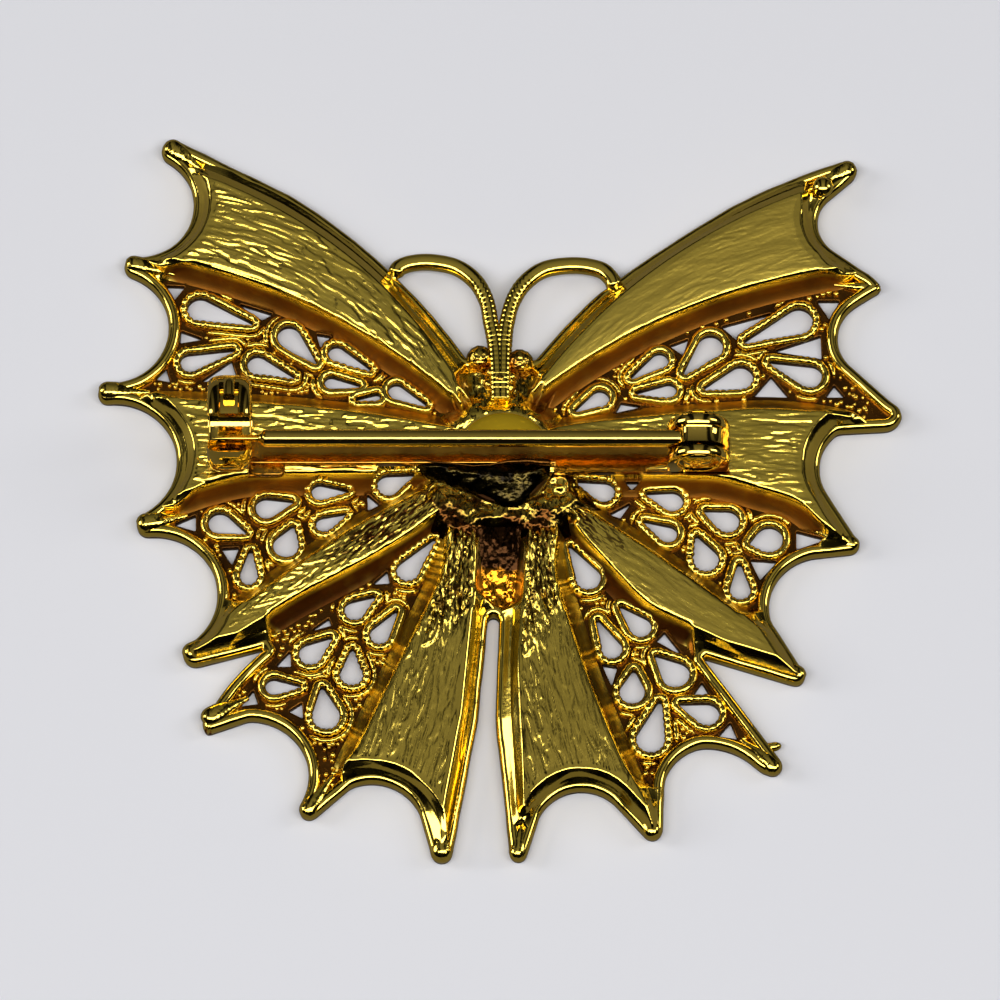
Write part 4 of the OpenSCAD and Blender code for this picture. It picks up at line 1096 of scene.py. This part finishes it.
body_ring = turned(barrel_band(-BARREL_W / 2, BARREL_W / 2), np.radians(np.linspace(56, 321, 80)),
                   round_catch, closed_turn=False)
cheeks = [turned(barrel_band(u0, u1), np.radians(np.linspace(-42, 7, 22)), round_catch, closed_turn=False)
          for u0, u1 in ((-BARREL_W / 2, -0.525), (0.525, BARREL_W / 2))]
foot_outline = np.array([(-1.2, -1.3), (1.2, -1.3), (1.2, 1.3), (-1.2, 1.3)]) + [-CATCH_X, BARREL_Y]
foot = slab(foot_outline, SEAT_T - 0.05, SEAT_T + 0.75, 0.1)
points, faces = joined([body_ring, *cheeks, foot])
piece("catch_housing", points, faces, finding_gold, slot="finding_gold")
print("catch housing", BARREL_W, "mm wide")

# %% Hinge ears
EAR_W, EAR_T, EAR_ROUND, EAR_H, EAR_OUT = 3.6, 0.7, 1.78, PIN_Z + 0.95 - SEAT_T, 1.275
reach, top = EAR_W / 2 - EAR_ROUND, EAR_H - EAR_ROUND
ear_outline = np.vstack([(-EAR_W / 2, 0), (EAR_W / 2, 0),
                         on_circle((reach, top), EAR_ROUND, np.radians(np.arange(0, 91, 6))),
                         on_circle((-reach, top), EAR_ROUND, np.radians(np.arange(96, 181, 6)))])
ears = [slab(ear_outline, low, low + EAR_T, 0.24, lambda p: (HINGE_X + p[0], PIN_Y + p[2], SEAT_T + p[1]))
        for low in (-EAR_OUT, EAR_OUT - EAR_T)]
lip_outline = np.array([(-3.0, -1.25), (-1.75, -1.25), (-1.75, -0.75)]) + [HINGE_X, PIN_Y]
lip = slab(lip_outline, SEAT_T + BAR_T - 0.05, SEAT_T + BAR_T + 0.35, 0.04)
ring_profile = on_circle((1.25, 0), (0.13, 0.1), np.radians(np.arange(0, 360, 45)))
rings = [turned(ring_profile, np.radians(np.arange(0, 360, 8)),
                lambda r, h, a, side=side: (HINGE_X + r * math.sin(a), PIN_Y + side * EAR_OUT + h,
                                            PIN_Z - 0.5 + r * math.cos(a))) for side in (-1, 1)]
points, faces = joined([*ears, lip, *rings])
piece("hinge_ears", points, faces, finding_gold, slot="finding_gold")
print("ears", EAR_W, "by", round(EAR_H, 2), "mm")

# %% Solder
blob = np.array([(-4.9, 1.9), (-4.4, 1.1), (-3.2, 0.7), (-2.2, 0.2), (-0.9, -0.2), (0.1, -0.75),
                 (1.1, -0.8), (1.7, -0.2), (2.3, 0.5), (2.95, 1.2), (2.9, 2.0), (1.4, 2.15), (-1.5, 2.0),
                 (-3.4, 2.2)]) + [0, -0.12]


def solder_height(points, inner, rim):
    x, y = points.T
    dome = 1 - np.exp(-np.maximum(inner, 0) / 0.45)
    lump = noise(x / 0.9, y / 0.8, 1) * 0.16 + noise(x / 0.33, y / 0.33, 2) * 0.07
    lump += noise(x / 0.14, y / 0.14, 3) * 0.03
    return 1.75 + dome * (1.0 + lump - 0.25 * np.clip(1.0 - y, 0, 2))


points, faces = relief(softened(evenly(blob, 0.15), 4), solder_height, 0.0, 0.06, 1.6)[:2]
piece("solder", points, faces, burnt_solder, slot="finding_gold")
fillet = evenly([(-4.9, 1.72), (-4.0, 1.62), (-2.6, 1.5), (-1.6, 1.36), (-0.6, 1.42), (0.4, 1.62),
                 (1.4, 1.66), (2.3, 1.6), (2.9, 1.55)], 0.08, closed=False)
s = np.linspace(0, 1, len(fillet))
size = 0.05 + 0.16 * step_up(0.5, 0.95, s) * (1 + 0.25 * noise(s * 14, s * 0, 2)) - 0.04 * step_up(0.97, 1, s)
line = np.column_stack([fillet, 2.66 + 0.03 * noise(s * 20, s * 0 + 5, 3)])
points, faces = wire(line, size, size, closed=False, sides=12)
piece("solder_fillet", points, faces, recess_shade_gold, slot="finding_gold")
print("solder and the fillet along the bar made")

# %% [markdown]
# The moving pieces. The stem turns on its rivet and must be round and straight, as it is the
# brightest line of the picture. The sleeve turns inside the catch and is pushed by its thumb tab.


# %% Stem
SHAFT_END, POINT_X = -CATCH_X + 1.9, -16.4


def along_pin(u, r, a):
    return (u, PIN_Y - r * math.sin(a), PIN_Z + r * math.cos(a))


full_turn = np.radians(np.arange(0, 360, 7.5))
stem_profile = [(POINT_X, 0.0), (-16.3, 0.06), (-15.8, 0.13), (-15.2, 0.2), (SHAFT_END - 0.3, 0.2),
                (SHAFT_END - 0.12, 0.3), (SHAFT_END, 0.44), (SHAFT_END + 0.08, 0.49),
                (SHAFT_END + 0.2, STEM_R), (10.4, STEM_R), (10.6, 0.3), (10.6, 0.0)]
shaft = turned(stem_profile, full_turn, along_pin)
half_turn = np.radians(np.arange(-90, 91, 10))
knuckle_outline = np.vstack([on_circle((HINGE_X + 0.3, PIN_Z), (1.1, 0.88), half_turn),
                             on_circle((HINGE_X - 0.6, PIN_Z), (-0.5, -0.88), half_turn)])
knuckle = slab(knuckle_outline[::-1], -0.52, 0.52, 0.14, lambda p: (p[0], PIN_Y + p[2], p[1]))
points, faces = joined([shaft, knuckle])
stem = piece("stem", points, faces, finding_gold, body="stem", slot="stem_gold", on_axis=True)
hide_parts("pin_stem")
print("stem", round(HINGE_X - POINT_X, 1), "mm from hinge to point")

# %% Rivet
head = [(1.3, 0.42), (1.3, 0.86), (1.33, 0.9), (1.42, 0.83), (1.5, 0.68), (1.55, 0.45), (1.56, 0.0)]
points, faces = turned([(-u, r) for u, r in head[::-1]] + head, full_turn,
                       lambda u, r, a: (HINGE_X + r * math.sin(a), PIN_Y + u, PIN_Z + r * math.cos(a)))
rivet = piece("rivet", points, faces, finding_gold, slot="rivet_gold", on_axis=True)
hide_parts("hinge_rivet")

# %% Sleeve and thumb tab
sleeve_ring = turned(rounded_box(-1.2, 1.2, 1.6, 2.15, 0.1), np.radians(np.linspace(58, 365, 90)),
                     round_catch, closed_turn=False)
tab = turned(rounded_box(-0.32, 0.32, 1.9, 3.05, 0.2), np.radians(np.linspace(-37.5, -13.5, 12)),
             round_catch, closed_turn=False)
points, faces = joined([sleeve_ring, tab])
sleeve = piece("catch_sleeve", points, faces, finding_gold, body="sleeve", slot="sleeve_gold")
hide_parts("catch_rotor")
print("sleeve made")

# %% [markdown]
# Crisp and soft edges together: flat faces must stay flat while turned faces stay round, so the
# finding's pieces are shaded smooth only below an angle.

# %% Edge shading
for name in ("base_bar", "catch_housing", "hinge_ears", "stem", "rivet", "catch_sleeve", "round_pad"):
    made = bpy.data.objects[name]
    made.data.set_sharp_from_angle(angle=math.radians(38))
    weighted = made.modifiers.new("flat faces stay flat", "WEIGHTED_NORMAL")
    weighted.keep_sharp = True
print("edges shaded")

# %% [markdown]
# The studio: a pale floor, one long softbox above the viewer and weaker ones at the sides. Polished
# metal shows its surroundings, so their dark stretches matter as much as the lamps: they draw the
# black lines that make gold look like gold. For the same reason the metal meets a darker floor and
# surroundings than the camera does, which sees both plain and pale.

# %% Floor
FLOOR_HALF = 1.5
corners = [(x * FLOOR_HALF, y * FLOOR_HALF, 0) for x, y in ((-1, -1), (1, -1), (1, 1), (-1, 1))]
floor_mesh = bpy.data.meshes.new("floor")
floor_mesh.from_pydata(corners, [], [(0, 1, 2, 3)])
floor = bpy.data.objects.new("floor", floor_mesh)
bpy.context.scene.collection.objects.link(floor)
floor_material = bpy.data.materials.new("pale_floor")
floor_material.use_nodes = True
tree = floor_material.node_tree
tree.nodes.clear()
pale = add(tree, "ShaderNodeBsdfPrincipled", Roughness=0.7, i0=(0.8, 0.8, 0.84, 1))
shaded = add(tree, "ShaderNodeBsdfPrincipled", Roughness=0.7, i0=(0.13, 0.12, 0.1, 1))
seen = tree.nodes.new("ShaderNodeLightPath").outputs["Is Camera Ray"]
mixed = add(tree, "ShaderNodeMixShader", i0=seen, i1=shaded.outputs[0], i2=pale.outputs[0])
add(tree, "ShaderNodeOutputMaterial", Surface=mixed.outputs[0])
floor_mesh.materials.append(floor_material)
print("floor", 2 * FLOOR_HALF, "m wide")


# %% Surroundings, as grey levels from the front over the top to the back, and from the middle aside
LEVELS = [(0.0, 0.006), (0.32, 0.006), (0.36, 0.08), (0.47, 0.26), (0.6, 0.195), (0.8, 0.1), (1.0, 0.03)]
SIDE_LEVELS = [(0.0, 1.0), (0.2, 1.0), (0.28, 0.04), (0.48, 0.04), (0.56, 0.8), (0.66, 0.8), (0.76, 0.15),
               (1.0, 0.25)]


def grey_ramp(tree, share, levels, blue=1.0):
    ramp = add(tree, "ShaderNodeValToRGB", Fac=share)
    while len(ramp.color_ramp.elements) < len(levels):
        ramp.color_ramp.elements.new(0.5)
    for stop, (position, level) in zip(ramp.color_ramp.elements, levels):
        stop.position = position
        stop.color = (level, level, level * blue, 1)
    return ramp.outputs["Color"]


world = bpy.data.worlds.new("studio")
bpy.context.scene.world = world
world.use_nodes = True
tree = world.node_tree
tree.nodes.clear()
generated = tree.nodes.new("ShaderNodeTexCoord").outputs["Generated"]
direction = add(tree, "ShaderNodeSeparateXYZ", Vector=generated).outputs
over = maths(tree, "ARCTAN2", direction["Z"], maths(tree, "MULTIPLY", direction["Y"], -1.0))
front_to_back = grey_ramp(tree, maths(tree, "DIVIDE", over, math.pi), LEVELS, 0.97)
aside = grey_ramp(tree, maths(tree, "ABSOLUTE", direction["X"]), SIDE_LEVELS)
both = add(tree, "ShaderNodeMix", {"data_type": "RGBA", "blend_type": "MULTIPLY"}, i0=1.0,
           i6=front_to_back, i7=aside)
seen = tree.nodes.new("ShaderNodeLightPath").outputs["Is Camera Ray"]
pick = add(tree, "ShaderNodeMix", {"data_type": "RGBA"}, Factor=seen, i6=both.outputs[2],
           i7=(0.7, 0.7, 0.75, 1))
sky = add(tree, "ShaderNodeBackground", Color=pick.outputs[2], Strength=1.0)
add(tree, "ShaderNodeOutputWorld", Surface=sky.outputs[0])
print("surroundings:", len(LEVELS), "levels")


# %% Lamps
def softbox(name, at, size, watts, aim=(0, 0, 0)):
    light = bpy.data.lights.new(name, "AREA")
    light.shape = "RECTANGLE"
    light.size, light.size_y = size
    light.energy = watts
    lamp = bpy.data.objects.new(name, light)
    lamp.location = at
    lamp.rotation_mode = "QUATERNION"
    lamp.rotation_quaternion = (Vector(aim) - Vector(at)).to_track_quat("-Z", "Y")
    lamp.visible_camera = False
    bpy.context.scene.collection.objects.link(lamp)
    return lamp


softbox("key", (0, -0.216, 0.666), (1.1, 0.21), 4.4)
softbox("left", (-0.75, 0.1, 0.4), (0.3, 0.4), 1.9)
softbox("right", (0.75, 0.15, 0.5), (0.25, 0.35), 1.2)
print("lamps: 3")

# %% [markdown]
# The photograph was taken from well above the pin side, and its far and near edges are about equal
# in scale. A very long lens from 70 degrees above the floor shows the wings just so.

# %% Camera, at the angle of the photograph
RISE, LENS, SENSOR, FRAME_WIDTH = math.radians(70), 600, 36, 0.0571
camera = bpy.data.cameras.new("camera")
camera.lens, camera.sensor_width = LENS, SENSOR
camera.clip_start, camera.clip_end = 0.01, 10
eye = bpy.data.objects.new("camera", camera)
away = FRAME_WIDTH * LENS / SENSOR
back = Vector((0, -math.cos(RISE), math.sin(RISE)))
eye.location = Vector((0, 0, 0.0007)) + back * away
eye.rotation_mode = "QUATERNION"
eye.rotation_quaternion = (-back).to_track_quat("-Z", "Y")
bpy.context.scene.collection.objects.link(eye)
bpy.context.scene.camera = eye
view = bpy.context.scene.view_settings
view.view_transform = "Standard"
view.look = "None"
print("camera", round(away, 3), "m away")
